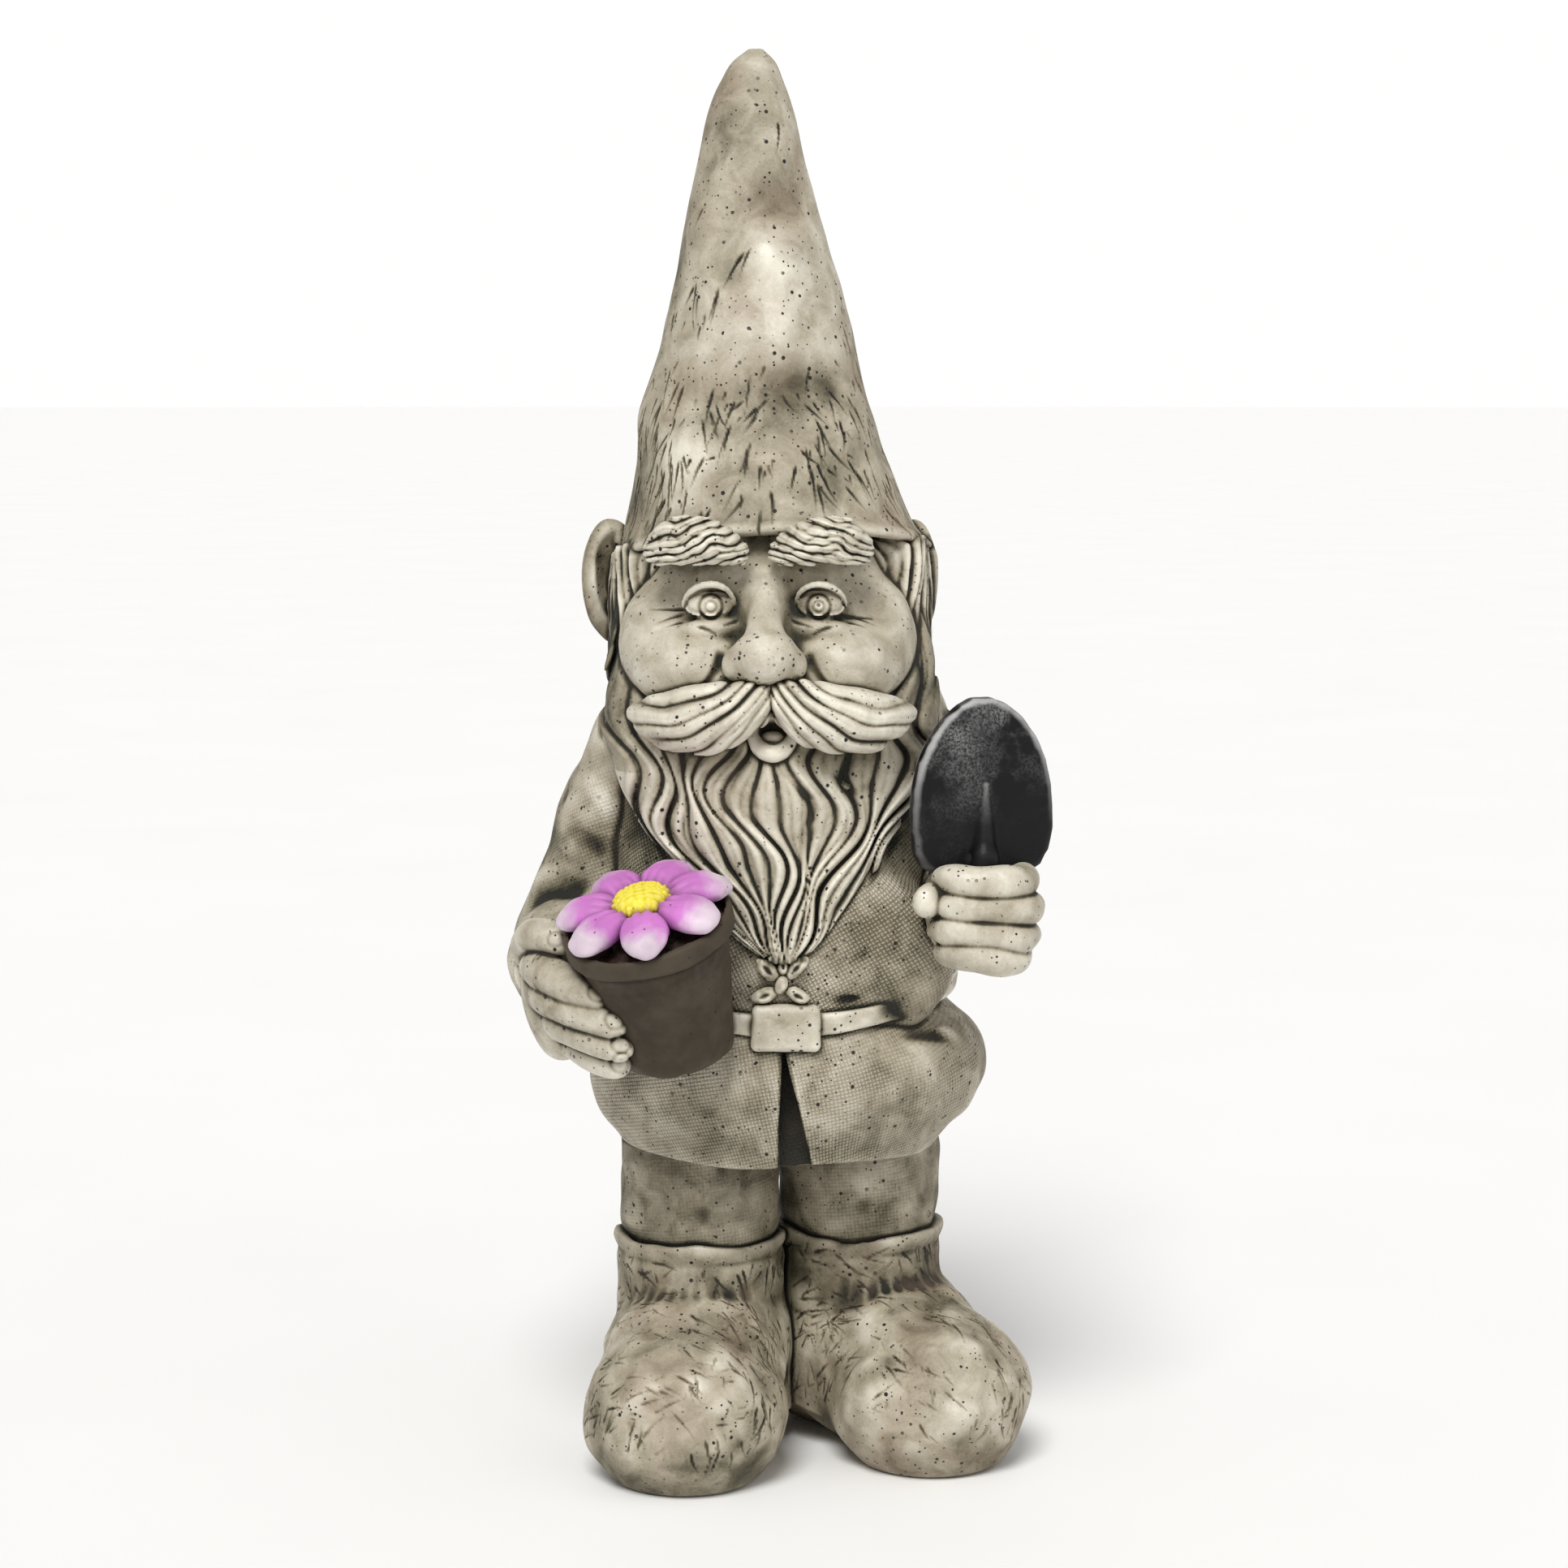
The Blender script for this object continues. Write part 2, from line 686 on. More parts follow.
def weave_height(n, pitch):
    """Over and under threads, from the stored cloth coordinates in mm."""
    cloth = n.node("ShaderNodeAttribute", {"attribute_name": "cloth"}).outputs["Vector"]
    split = n.node("ShaderNodeSeparateXYZ", None, Vector=cloth)
    u, v = (n.scale(split.outputs[i], 1 / pitch) for i in (0, 1))
    over = n.math("MODULO", n.math("ABSOLUTE", n.add(n.math("FLOOR", u), n.math("FLOOR", v))), 2.0)
    warp, weft = (n.math("ABSOLUTE", n.math("SINE", n.scale(c, math.pi))) for c in (u, v))
    under = n.math("SUBTRACT", 1.0, over)
    raised = n.add(n.math("MULTIPLY", warp, over), n.math("MULTIPLY", weft, under))
    return n.math("MULTIPLY", raised, n.math("POWER", n.math("MULTIPLY", warp, weft), 0.35))


def stone(name, shade=0.0, wash_reach=1.0, weave=0.0, warmth=0.0, speckle=1.0):
    """Cast stone with a dark wash in its recesses, rubbed high parts and small air holes."""
    found = bpy.data.materials.get(name)
    if found:
        return found
    n = Nodes(name)
    wash, worn = n.value("wash"), n.value("worn")
    broad = n.lumps(16, 2.0)
    patch = n.lumps(55, 4.0, 0.6, 0.6)
    grain = n.lumps(620, 3.0, 0.7)
    tone = n.add(0.50 + shade, n.scale(n.math("SUBTRACT", broad, 0.5), 0.55))
    tone = n.add(tone, n.scale(n.math("SUBTRACT", patch, 0.5), 0.75))
    tone = n.add(tone, n.scale(n.math("SUBTRACT", grain, 0.5), 0.22))
    tone = n.add(tone, n.scale(worn, 0.42))
    held = n.math("MULTIPLY", wash, n.add(0.78, n.scale(patch, 0.45)))
    tone = n.math("SUBTRACT", tone, n.scale(held, 0.80 * wash_reach))
    threads = None
    if weave:
        threads = weave_height(n, bpy.context.scene.gnome_sizes.weave_pitch)
        spread = n.ramp(n.lumps(18, 2.0), [(0.36, 0.25), (0.60, 1.0)])
        threads = n.math("MULTIPLY", n.math("SUBTRACT", threads, 0.62), spread)
        tone = n.add(tone, n.scale(threads, 0.34 * weave))
    light, mid, dark, deep = (colour(key) for key in ("stone_light", "stone_mid", "stone_dark", "wash"))
    half = tuple((a + b) / 2 for a, b in zip(mid, light))
    face = n.ramp(tone, [(0.0, deep), (0.24, dark), (0.52, mid), (0.76, half), (1.0, light)])
    if warmth:
        rust = n.ramp(n.lumps(24, 4.0), [(0.45, 0.0), (0.7, 1.0)])
        face = n.mix(n.scale(rust, warmth), face, linear((150, 124, 104)))
    dots = n.math("MAXIMUM", n.pits(210, 0.29, 0.60), n.pits(380, 0.30, 0.50))
    dots = n.math("MULTIPLY", dots, n.ramp(n.lumps(30, 2.0), [(0.38, 0.0), (0.50, 1.0)]))
    dots = n.scale(dots, speckle)
    face = n.mix(dots, face, linear((20, 19, 14)))
    roughness = n.ramp(tone, [(0.15, 0.80), (0.85, 0.40)])
    normal = n.bump(grain, 0.0004, 0.5)
    normal = n.bump(n.lumps(170, 3.0), 0.0014, 0.4, normal)
    normal = n.bump(n.scale(dots, -1.0), 0.0008, 0.8, normal)
    if threads is not None:
        normal = n.bump(threads, 0.0009, 0.9 * weave, normal)
    return n.surface(face, roughness, normal, 0.5)


def painted(name, paint, frost, frost_share, rough=0.6, specular=0.35):
    """Paint on cast stone, with a second paler colour rubbed on. frost_share is a value from 0 to 1."""
    n = Nodes(name)
    wash = n.value("wash")
    patch = n.lumps(60, 4.0, 0.6, 0.4)
    grain = n.lumps(700, 3.0, 0.7)
    share = frost_share(n, patch, grain)
    shade = n.ramp(n.lumps(45, 3.0), [(0.3, 0.72), (0.7, 1.0)])
    shaded = n.node("ShaderNodeMix", {"data_type": "RGBA", "blend_type": "MULTIPLY"})
    shaded.inputs[0].default_value = 1.0
    n.feed(shaded.inputs[6], n.mix(share, paint, frost))
    n.feed(shaded.inputs[7], shade)
    stained = n.mix(n.scale(wash, 0.72), shaded.outputs[2], tuple(c * 0.22 for c in paint))
    dots = n.pits(300, 0.26, 0.16)
    stained = n.mix(n.scale(dots, 0.7), stained, linear((24, 20, 18)))
    normal = n.bump(grain, 0.0004, 0.5)
    normal = n.bump(n.scale(dots, -1.0), 0.0006, 0.7, normal)
    return n.surface(stained, n.ramp(patch, [(0.3, rough + 0.12), (0.7, rough - 0.08)]), normal, specular)


def carved_stone():
    return stone("Carved stone", 0.0, 1.0, 0.0, 0.08)


def pale_stone():
    return stone("Pale stone", 0.12, 0.95, 0.0, 0.06)


def cloth_stone():
    return stone("Woven stone", -0.02, 0.95, 0.9, 0.10)


def plain_cloth_stone():
    return stone("Belt stone", 0.0, 0.95)


def sleeve_stone():
    return stone("Worn woven stone", -0.04, 0.95, 0.45, 0.08)


def trouser_stone():
    return stone("Trouser stone", -0.10, 1.0, 0.35, 0.10)


def boot_stone():
    return stone("Boot stone", -0.02, 1.0, 0.0, 0.28)


def hat_stone():
    return stone("Hat stone", 0.03, 1.0, 0.0, 0.30, 1.2)


def sizes():
    return bpy.context.scene.gnome_sizes


# ---------------------------------------------------------------- forms shared by more than one piece

HAT_RINGS = [
    (490, -3, 2, 97, 97),
    (516, -3.5, 2, 90, 90),
    (535, -8, 2, 81.5, 81.5),
    (555, -11.5, 2, 75, 75),
    (600, -15.4, 3, 63.8, 63.8),
    (646, -15.6, 5, 51.9, 51.9),
    (692, -18.5, 6, 41, 41),
    (737, -18.5, 8, 30.4, 30.4),
    (782, -18.2, 10, 17.7, 17.7),
    (794, -17, 10, 11, 11),
    (800, -16, 10, 4, 4),
]
# Dents and swells on the hat's front: x, z, half width, height as a share of the width, rise.
HAT_DENTS = (
    (-12, 716, 20, 0.7, -3.8),
    (14, 612, 19, 0.7, -4.4),
    (-38, 606, 15, 0.7, -2.0),
    (34, 560, 22, 0.7, -2.4),
)
HAT_SWELLS = (
    (-6, 746, 12, 1, 2.4),
    (-6, 684, 16, 1, 4.2),
    (-10, 644, 20, 1, 2.6),
    (-48, 570, 18, 1, 2.6),
)
TORSO_RINGS = [
    (250, -3, -6, 91, 87),
    (262, -3, -6, 92, 88),
    (290, -3, -5, 96, 90),
    (330, -3, -3, 97, 84),
    (370, -3, 0, 95, 74),
    (400, -3, 2, 91, 64),
    (420, -3, 3, 82, 56),
    (436, -3, 4, 64, 46),
    (446, -3, 4, 40, 30),
]
SKIRT_RINGS = [
    (176, -3, -4, 88, 80),
    (186, -2.5, -4, 93, 84),
    (206, 0, -4, 108, 93),
    (228, 2, -5, 113, 97),
    (248, 1, -5, 107, 93),
    (262, -3, -6, 94, 89),
    (270, -3, -6, 88, 84),
]
BEARD_RINGS = [
    (298, -0.4, -96, 7, 6),
    (305, -1, -89, 17, 14),
    (325, -3, -77, 36, 27),
    (350, -6, -66, 56, 38),
    (375, -9, -56, 73, 46),
    (400, -10, -46, 86, 53),
    (430, -9, -35, 93, 56),
    (456, -8, -26, 92, 53),
    (474, -8, -20, 88, 47),
    (500, -8, -8, 85, 36),
]
NOSE_X = -10.5
EYE_GAP = 29.4  # each eye from the nose's middle
EYE_Z = 493.5
# Lines of the face as x, y, z, radius. All but the lip are x from a middle line, and are mirrored.
CHEEK_FOLD = (
    (24, -93, 468, 1.2),
    (26, -95, 459, 1.6),
    (32, -94, 450, 1.6),
    (42, -90, 442, 1.4),
    (54, -84, 438, 1.2),
)
LOWER_LIP = (
    (-17, -92, 421, 3.0),
    (-13, -96, 415.5, 3.8),
    (-6, -98.5, 413, 4.2),
    (1, -96, 415.5, 3.8),
    (5, -92, 421, 3.0),
)
BROW_SPINE = (
    (-21, -86, 521.5, 6.8),
    (-11, -89, 526.5, 10),
    (1, -90, 528.5, 12),
    (12, -88, 527.5, 11.5),
    (21, -82, 523, 7.5),
)
MOUSTACHE_SPINE = (
    (1, -99, 447, 6),
    (9, -103, 441, 12),
    (24, -104, 435, 16.5),
    (42, -99, 431.5, 17.5),
    (58, -89, 430.5, 13.5),
    (72, -76, 433.5, 6),
)
BRIM = (np.array((-3.0, 0.0, 517.0)), np.array((-0.045, 0.197, 1.0)))


def brim_height(x, y):
    """Height of the brim's lower edge."""
    middle, normal = BRIM
    return middle[2] - (normal[0] * (x - middle[0]) + normal[1] * (y - middle[1]))


def cloth_lines(centre_x, centre_y, radius, slant=0.0):
    """Cloth coordinates in mm round an upright axis, turned by slant degrees."""
    turn = math.radians(slant)

    def extra(points):
        around = np.arctan2(points[:, 0] - centre_x, centre_y - points[:, 1]) * radius
        up = points[:, 2]
        u = around * math.cos(turn) + up * math.sin(turn)
        v = -around * math.sin(turn) + up * math.cos(turn)
        return {"cloth": np.stack([u, v, 0 * u], 1)}

    return extra


# ---------------------------------------------------------------- pieces


def model_hat():
    clay = Clay((-102, -98, 488), (96, 102, 803), 1.0)
    clay.add(stack(HAT_RINGS), 0)
    clay.trim(lambda x, y, z: brim_height(x, y) - z, 3.0)

    def lumps(x, y, z):
        """Soft dents and swells, strongest low on the cone."""
        size = np.clip((HAT_TOP - z) / 120, 0.2, 1)
        swell = 2.4 * noise(x / 30, y / 30, z / 40, 3) + 1.0 * noise(x / 14, y / 14, z / 18, 5)
        for px, pz, wide, squash, rise in HAT_DENTS + HAT_SWELLS:
            away = -(((x - px) / wide) ** 2) - ((z - pz) / (wide * squash)) ** 2
            swell = swell + rise * np.exp(away) * (y < 0)
        flat = np.clip((z - brim_height(x, y) - 5) / 14, 0, 1)
        return swell * size * flat

    clay.relief(lumps, tone=0.16)
    # the brim turns out in a low lip
    clay.relief(lambda x, y, z: 1.5 * np.exp(-(((z - brim_height(x, y) - 2.5) / 3.4) ** 2)))
    inside = clay.blank()
    inside.add(stack([(z, x, y, w - 8, d - 8) for z, x, y, w, d in HAT_RINGS[:4]]), 0)
    clay.d = np.where(clay.axes[2] < 540, np.maximum(clay.d, -inside.d), clay.d).astype(np.float32)

    def marks(points, normals):
        def flow(point, rng):
            sway = 0.9 * float(noise(point[0] / 20, point[1] / 20, point[2] / 26, 9))
            spread = (point[0] + 12) / 85 + sway
            return np.array((spread * (0.8 if point[1] < 20 else 0.4), 0.0, -1.0))

        def low_down(p, n):
            chance = lattice(np.arange(len(p)), 0, 0, 4)
            share = np.clip((690 - p[:, 2]) / 120, 0.04, 1)
            clear = (p[:, 2] > brim_height(p[:, 0], p[:, 1]) + 12) & (n[:, 2] > -0.2)
            patchy = noise(p[:, 0] / 16, p[:, 1] / 16, p[:, 2] / 22, 8) > -0.25
            return (chance < share) & clear & patchy

        depth = sizes().stroke_depth
        longer = random_marks(points, normals, 330, flow, 11, (13, 28), (0.7, 1.3), depth, low_down, 0.2)
        short = random_marks(points, normals, 160, flow, 12, (5, 11), (0.7, 1.1), depth * 0.8, low_down, 0.4)
        return longer + short

    def shaded(points):
        away = np.clip(np.abs(points[:, 0] + 10) / (0.30 * (HAT_TOP - points[:, 2]) + 20) - 0.55, 0, 1)
        low = np.clip((552 - points[:, 2]) / 60, 0, 1)
        return 0.28 * away + 0.10 * low

    cast("hat_shell", clay, hat_stone(), "carved_stone", ["hat"], marks, stain=shaded)


def lid_line(side, rise, drop, reach, lift):
    """Points of an eyelid from its outer to its inner corner, just in front of the eyeball."""
    points = []
    for t in np.linspace(0, math.pi, 13):
        out = math.cos(t)
        x = NOSE_X + side * (EYE_GAP + (reach if out > 0 else reach - 3) * out)
        z = EYE_Z + (rise * math.sin(t) if rise > 0 else -drop * math.sin(t)) - 2.0 * max(out, 0) ** 2
        y = -87.4 + 0.045 * (reach * out) ** 2 * (1.2 if out > 0 else 0.6) - lift * math.sin(t)
        points.append((x, y, z))
    return points


def iris(x, y, z):
    """The carved ring of each iris and the raised pupil."""
    total = 0
    for side in (-1, 1):
        away = np.sqrt((x - NOSE_X - side * EYE_GAP) ** 2 + (z - EYE_Z + 0.8) ** 2)
        ring = -1.1 * np.exp(-(((away - 6.3) / 0.9) ** 2)) + 0.5 * np.exp(-(((away - 4.6) / 1.0) ** 2))
        pupil = -0.6 * np.exp(-(((away - 3.1) / 0.6) ** 2)) + 1.0 * np.exp(-((away / 2.2) ** 2))
        total = total + (ring + pupil) * (y < -70)
    return total


def model_head():
    clay = Clay((-98, -126, 392), (82, 34, 548), 1.0)
    clay.add(egg((-8, -3, 470), (81, 82, 88)), 0)
    for side in (-1, 1):
        # socket first, deepest beside the nose, then the cheek's ball
        socket_x = NOSE_X + side * EYE_GAP
        clay.cut(egg((socket_x - side * 2, -99, EYE_Z + 2), (19, 12, 12)), 8)
        clay.cut(egg((socket_x - side * 12, -91, EYE_Z + 3), (6, 8, 7)), 5)
        clay.add(egg((-9.5 + side * 41, -64.5, 459.5), (33.5, 34, 24.5), (0, side * 6, side * 10)), 3.5)
        clay.add(egg((-9 + side * 55, -44, 470), (28, 30, 34)), 12)
    for side in (-1, 1):
        socket_x = NOSE_X + side * EYE_GAP
        clay.add(egg((socket_x, -78, EYE_Z - 0.5), (12.8, 10.2, 7.6)), 0.3)
        clay.add(egg((socket_x, -80, EYE_Z - 12.5), (15.5, 8, 6.0), (0, side * 6, 0)), 4)
        upper = lid_line(side, 11.4, 0, 15.5, 1.2)
        lower = lid_line(side, 0, 6.0, 13.4, 0.2)
        crease = [(x, y + 1.6, z + 4.2) for x, y, z in upper]
        thick = 0.9 + np.sin(np.linspace(0, math.pi, len(upper)))
        clay.run([(*point, r) for point, r in zip(upper, thick)], 0.5)
        clay.run([(*point, 1.0) for point in lower], 0.5)
        for start, end in zip(crease[1:-1], crease[2:-1]):
            clay.cut(bar((*start, 0.8), (*end, 0.8)), 1.2)
        # the ridge of bone the eyebrow lies on
        brow_x = NOSE_X - 3.2 + side * 33.8
        clay.add(egg((brow_x, -62, 527), (25, 20, 11)), 7)
    # nose: bridge, ball and wings, with nostrils underneath
    clay.add(bar((NOSE_X, -76, 507, 6.5), (NOSE_X, -94, 480, 10.5)), 10)
    clay.add(egg((NOSE_X, -101, 465.5), (19, 17.5, 15.5)), 5)
    for side in (-1, 1):
        clay.add(egg((NOSE_X + side * 14, -96, 461.5), (9.4, 12, 9.4), (0, side * 20, side * 12)), 4)
        clay.cut(egg((NOSE_X + side * 9, -104, 449.5), (5.5, 8, 3.6), (0, 0, side * 15)), 2)
        line = curve([(NOSE_X + side * x, y, z, r) for x, y, z, r in CHEEK_FOLD], 3)
        for start, end in zip(line, line[1:]):
            clay.cut(bar(start, end), 3)
    # chin with the open mouth
    clay.add(egg((-7, -72, 420), (25, 24, 22)), 4)
    clay.cut(egg((-6, -98, 425), (9.6, 13, 7.2)), 1.6)
    clay.add(egg((-6, -88, 421), (6.8, 6.5, 3.6)), 1.0)
    clay.run(curve(LOWER_LIP, 6), 1.0)
    clay.relief(iris, 4, tone=0.5)
    clay.relief(swells(0.7, 13, 21), tone=0.12)

    def marks(points, normals):
        found = []

        def line(x, z, dx, dz, length, width, deep, bend=0.0):
            gap = np.where(points[:, 1] < 0, (points[:, 0] - x) ** 2 + (points[:, 2] - z) ** 2, 1e9)
            index = int(np.argmin(gap))
            out = normals[index]
            run = np.array((dx, 0.0, dz))
            run = run - out * (run @ out)
            found.append((points[index], run / np.linalg.norm(run), out, length, width, deep, bend))

        for side in (-1, 1):
            corner = NOSE_X + side * (EYE_GAP + 15)
            for rise, tilt, length in ((3, 0.30, 15), (-1, 0.02, 22), (-5, -0.35, 19), (-9, -0.6, 13)):
                line(corner, EYE_Z + rise - 1, side, tilt, length, 1.1, 1.2, -side * 0.06)
            line(corner - side * 6, EYE_Z - 12, -side, -0.25, 20, 1.3, 0.9, side * 0.25)
            line(NOSE_X + side * 14, EYE_Z - 8, side * 0.7, -0.55, 14, 1.2, 0.8, side * 0.2)
        return found

    def shadowed(points):
        x, y, z = points.T
        total = 0.30 * np.clip((z - 512) / 8, 0, 1) * (y < 0)
        for side in (-1, 1):
            away = ((x - NOSE_X - side * (EYE_GAP - 6)) / 15) ** 2 + ((z - EYE_Z) / 11) ** 2
            total = total + 0.26 * np.exp(-away * 1.2) * (y < -60) * (y > -88)
        return total

    cast("head_and_face", clay, pale_stone(), "pale_stone", ["head"], marks, strength=0.95, stain=shadowed)


def model_ears():
    for side, name, centre, turn in (
        (-1, "right_ear", (-98, 8, 501), 30),
        (1, "left_ear", (73, 12, 500), -46),
    ):
        x, y, z = centre
        clay = Clay((x - 30, y - 32, z - 46), (x + 30, y + 32, z + 46), 0.75)
        clay.add(egg(centre, (19, 9, 36), (0, side * 4, turn)), 0)
        lean = math.radians(turn)
        forward = np.array((math.sin(lean), -math.cos(lean), 0))
        hollow = np.array(centre) + forward * 8.5
        clay.cut(egg(hollow + np.array((0, 0, 2)), (14.5, 8.5, 29), (0, side * 4, turn)), 2.0)
        inner = np.array(centre) + forward * 3
        across = np.array((math.cos(lean), math.sin(lean), 0)) * -side
        fold = [(3, 24, 2.0), (8, 12, 2.8), (8, -2, 3.2), (6, -14, 3.0), (1, -25, 2.2)]
        clay.run(curve([(*(inner + across * a + np.array((0, 0, b))), r) for a, b, r in fold], 4), 3)
        clay.relief(swells(0.9, (9, 9, 12), 31), tone=0.2)

        def inside(points, centre=centre, forward=forward):
            depth = (points - np.array(centre)) @ forward
            return 0.32 * np.clip(1 - np.abs(depth - 1) / 5, 0, 1)

        cast(name, clay, pale_stone(), "pale_stone", [name], strength=1.2, stain=inside)


def model_brows():
    for side, name, x in ((-1, "right_eyebrow", -47.5), (1, "left_eyebrow", 20)):
        clay = Clay((x - 34, -110, 502), (x + 34, -60, 552), 0.5)
        clay.run(curve([(x + side * a, b, c, r) for a, b, c, r in BROW_SPINE], 4), 2)
        clay.trim(lambda px, py, pz: 514 - pz, 4)

        def hairs(px, py, pz, side=side, x=x):
            out, up = side * (px - x), pz - 527
            along = out * 0.93 - up * 0.36
            across = out * 0.30 + up * 0.95 + 2.6 * noise(out / 9, up / 12, side, 41)
            coarse = strands(across / 4.8 + 20, along / 9 + 10, 42 + side)
            finer = strands(across / 2.0 + 20, along / 8 + 10, 45 + side)
            return 3.4 * coarse + 0.9 * finer - 2.3

        clay.relief(hairs, tone=0.22)
        cast(name, clay, pale_stone(), "carved_stone", [name], fine=1.0, broad=3.0, strength=1.2)


def model_moustache():
    for side, name in ((-1, "right_moustache"), (1, "left_moustache")):
        clay = Clay((-96, -128, 400), (84, -48, 466), 0.8)
        start_x = -6 if side > 0 else -8
        clay.run(curve([(start_x + side * a, b, c, r) for a, b, c, r in MOUSTACHE_SPINE], 4), 2)
        clay.trim(lambda x, y, z, side=side: -side * (x + 6.5), 3.0)

        def hairs(x, y, z, side=side):
            out = side * (x + 6.5) + 12
            drop = 486 - z
            far = np.sqrt(out**2 + drop**2)
            angle = np.degrees(np.arctan2(out, drop)) - 0.30 * (far - 50)
            across = angle / 6.6 + 0.35 * noise(far / 14, angle / 20, 0, 51)
            coarse = strands(across + 30, far / 46 + 8, 52 + side)
            return 3.8 * coarse + 0.8 * strands(across * 2.3 + 30, far / 24 + 8, 56 + side) - 2.5

        clay.relief(hairs, tone=0.17)
        cast(name, clay, pale_stone(), "carved_stone", [name], fine=1.6, broad=4.5, strength=1.0)


def beard_flow(x, z):
    """Lock label across, mm, and the place along the beard, mm, for wavy locks that close in on the tip."""
    drop = 470 - z
    width = smooth_curve([r[0] for r in BEARD_RINGS], [r[3] for r in BEARD_RINGS], z)
    middle = smooth_curve([r[0] for r in BEARD_RINGS], [r[1] for r in BEARD_RINGS], z)
    spread = (x - middle) / np.maximum(width, 12)
    label = spread
    for _ in range(4):
        wave = 0.10 * np.sin(drop / 15.5 + label * 3.2) + 0.05 * np.sin(drop / 8.5 - label * 7)
        label = spread - wave * np.clip(drop / 60, 0, 1)
    return label * 78, drop


def model_beard():
    clay = Clay((-110, -120, 290), (96, 36, 504), 1.0)
    clay.add(stack(BEARD_RINGS), 0)
    clay.cut(egg((-6.5, -98, 428), (22, 22, 15)), 4)
    deep = sizes().strand_depth

    def locks(x, y, z):
        label, drop = beard_flow(x, z)
        outer = np.clip(np.abs(x + 9) / 60, 0, 1)
        label = label + np.maximum(y + 22, 0) * 0.8 * np.sign(x + 9) * outer
        crowns = strands(label / 10.5 + 40, drop / 46 + 6, 61)
        finer = strands(label / 4.4 + 40, drop / 28 + 6, 63)
        fade = np.clip((z - 292) / 20, 0.3, 1)
        return (deep * crowns + 1.4 * finer - 0.66 * deep) * fade

    clay.relief(locks, tone=0.12)

    def shadowed(points):
        x, y, z = points.T
        under_lip = 0.35 * np.exp(-(((z - 414) / 9) ** 2)) * (np.abs(x + 7) < 60)
        return under_lip + 0.3 * np.clip((np.abs(x + 8) - 62) / 30, 0, 1) * (z > 400)

    cast(
        "beard", clay, carved_stone(), "carved_stone", ["beard"],
        fine=1.8, broad=5, strength=1.05, stain=shadowed,
    )


def model_hair():
    clay = Clay((-110, -62, 424), (94, 104, 534), 1.2)
    rings = [(428, 86, 84), (444, 90, 88), (465, 91, 92), (492, 91, 91), (526, 88, 88)]
    clay.add(stack([(z, -8, 2, w, d) for z, w, d in rings]), 0)
    clay.trim(lambda x, y, z: -38 - y, 16)
    clay.trim(lambda x, y, z: z - brim_height(x, y) - 4, 2)

    def locks(x, y, z):
        out = np.abs(x + 8)
        around = np.arctan2(out, -(y - 2)) * 92 + 0.5 * np.where(y < 0, out - 92, 0)
        label = np.sign(x + 8) * (around + 6 * np.sin((520 - z) / 13 + around / 22))
        coarse = strands(label / 9.5 + 60, (520 - z) / 40 + 3, 71)
        return 5.6 * coarse + 1.2 * strands(label / 4.2 + 60, (520 - z) / 24 + 3, 72) - 3.6

    clay.relief(locks, tone=0.12)
    cast("hair", clay, carved_stone(), "carved_stone", ["hair_back"], fine=1.8, broad=5, strength=1.1)


def soft_folds(scale, seed, amount=1.0):
    """The cloth's random swells: scale is the size of one in mm, and amount scales their height."""

    def height(x, y, z):
        depth = sizes().fold_depth * amount
        broad = 0.75 * noise(x / scale, y / scale, z / (scale * 0.8), seed)
        finer = 0.35 * noise(x / scale * 2.3, y / scale * 2.3, z / scale * 2, seed + 1)
        return depth * (broad + finer)

    return height


def fold_lines(lines):
    """Rounded creases: start, end, width, depth."""

    def height(x, y, z):
        total = 0
        for a, b, width, depth in lines:
            a, b = np.array(a, float), np.array(b, float)
            run = b - a
            w = (x - a[0], y - a[1], z - a[2])
            t = np.clip(sum(p * q for p, q in zip(w, run)) / (run @ run), 0, 1)
            gap = sum((p - t * q) ** 2 for p, q in zip(w, run))
            total = total + depth * np.exp(-gap / width**2) * np.sin(np.pi * np.clip(t, 0.04, 0.96)) ** 0.5
        return total

    return height


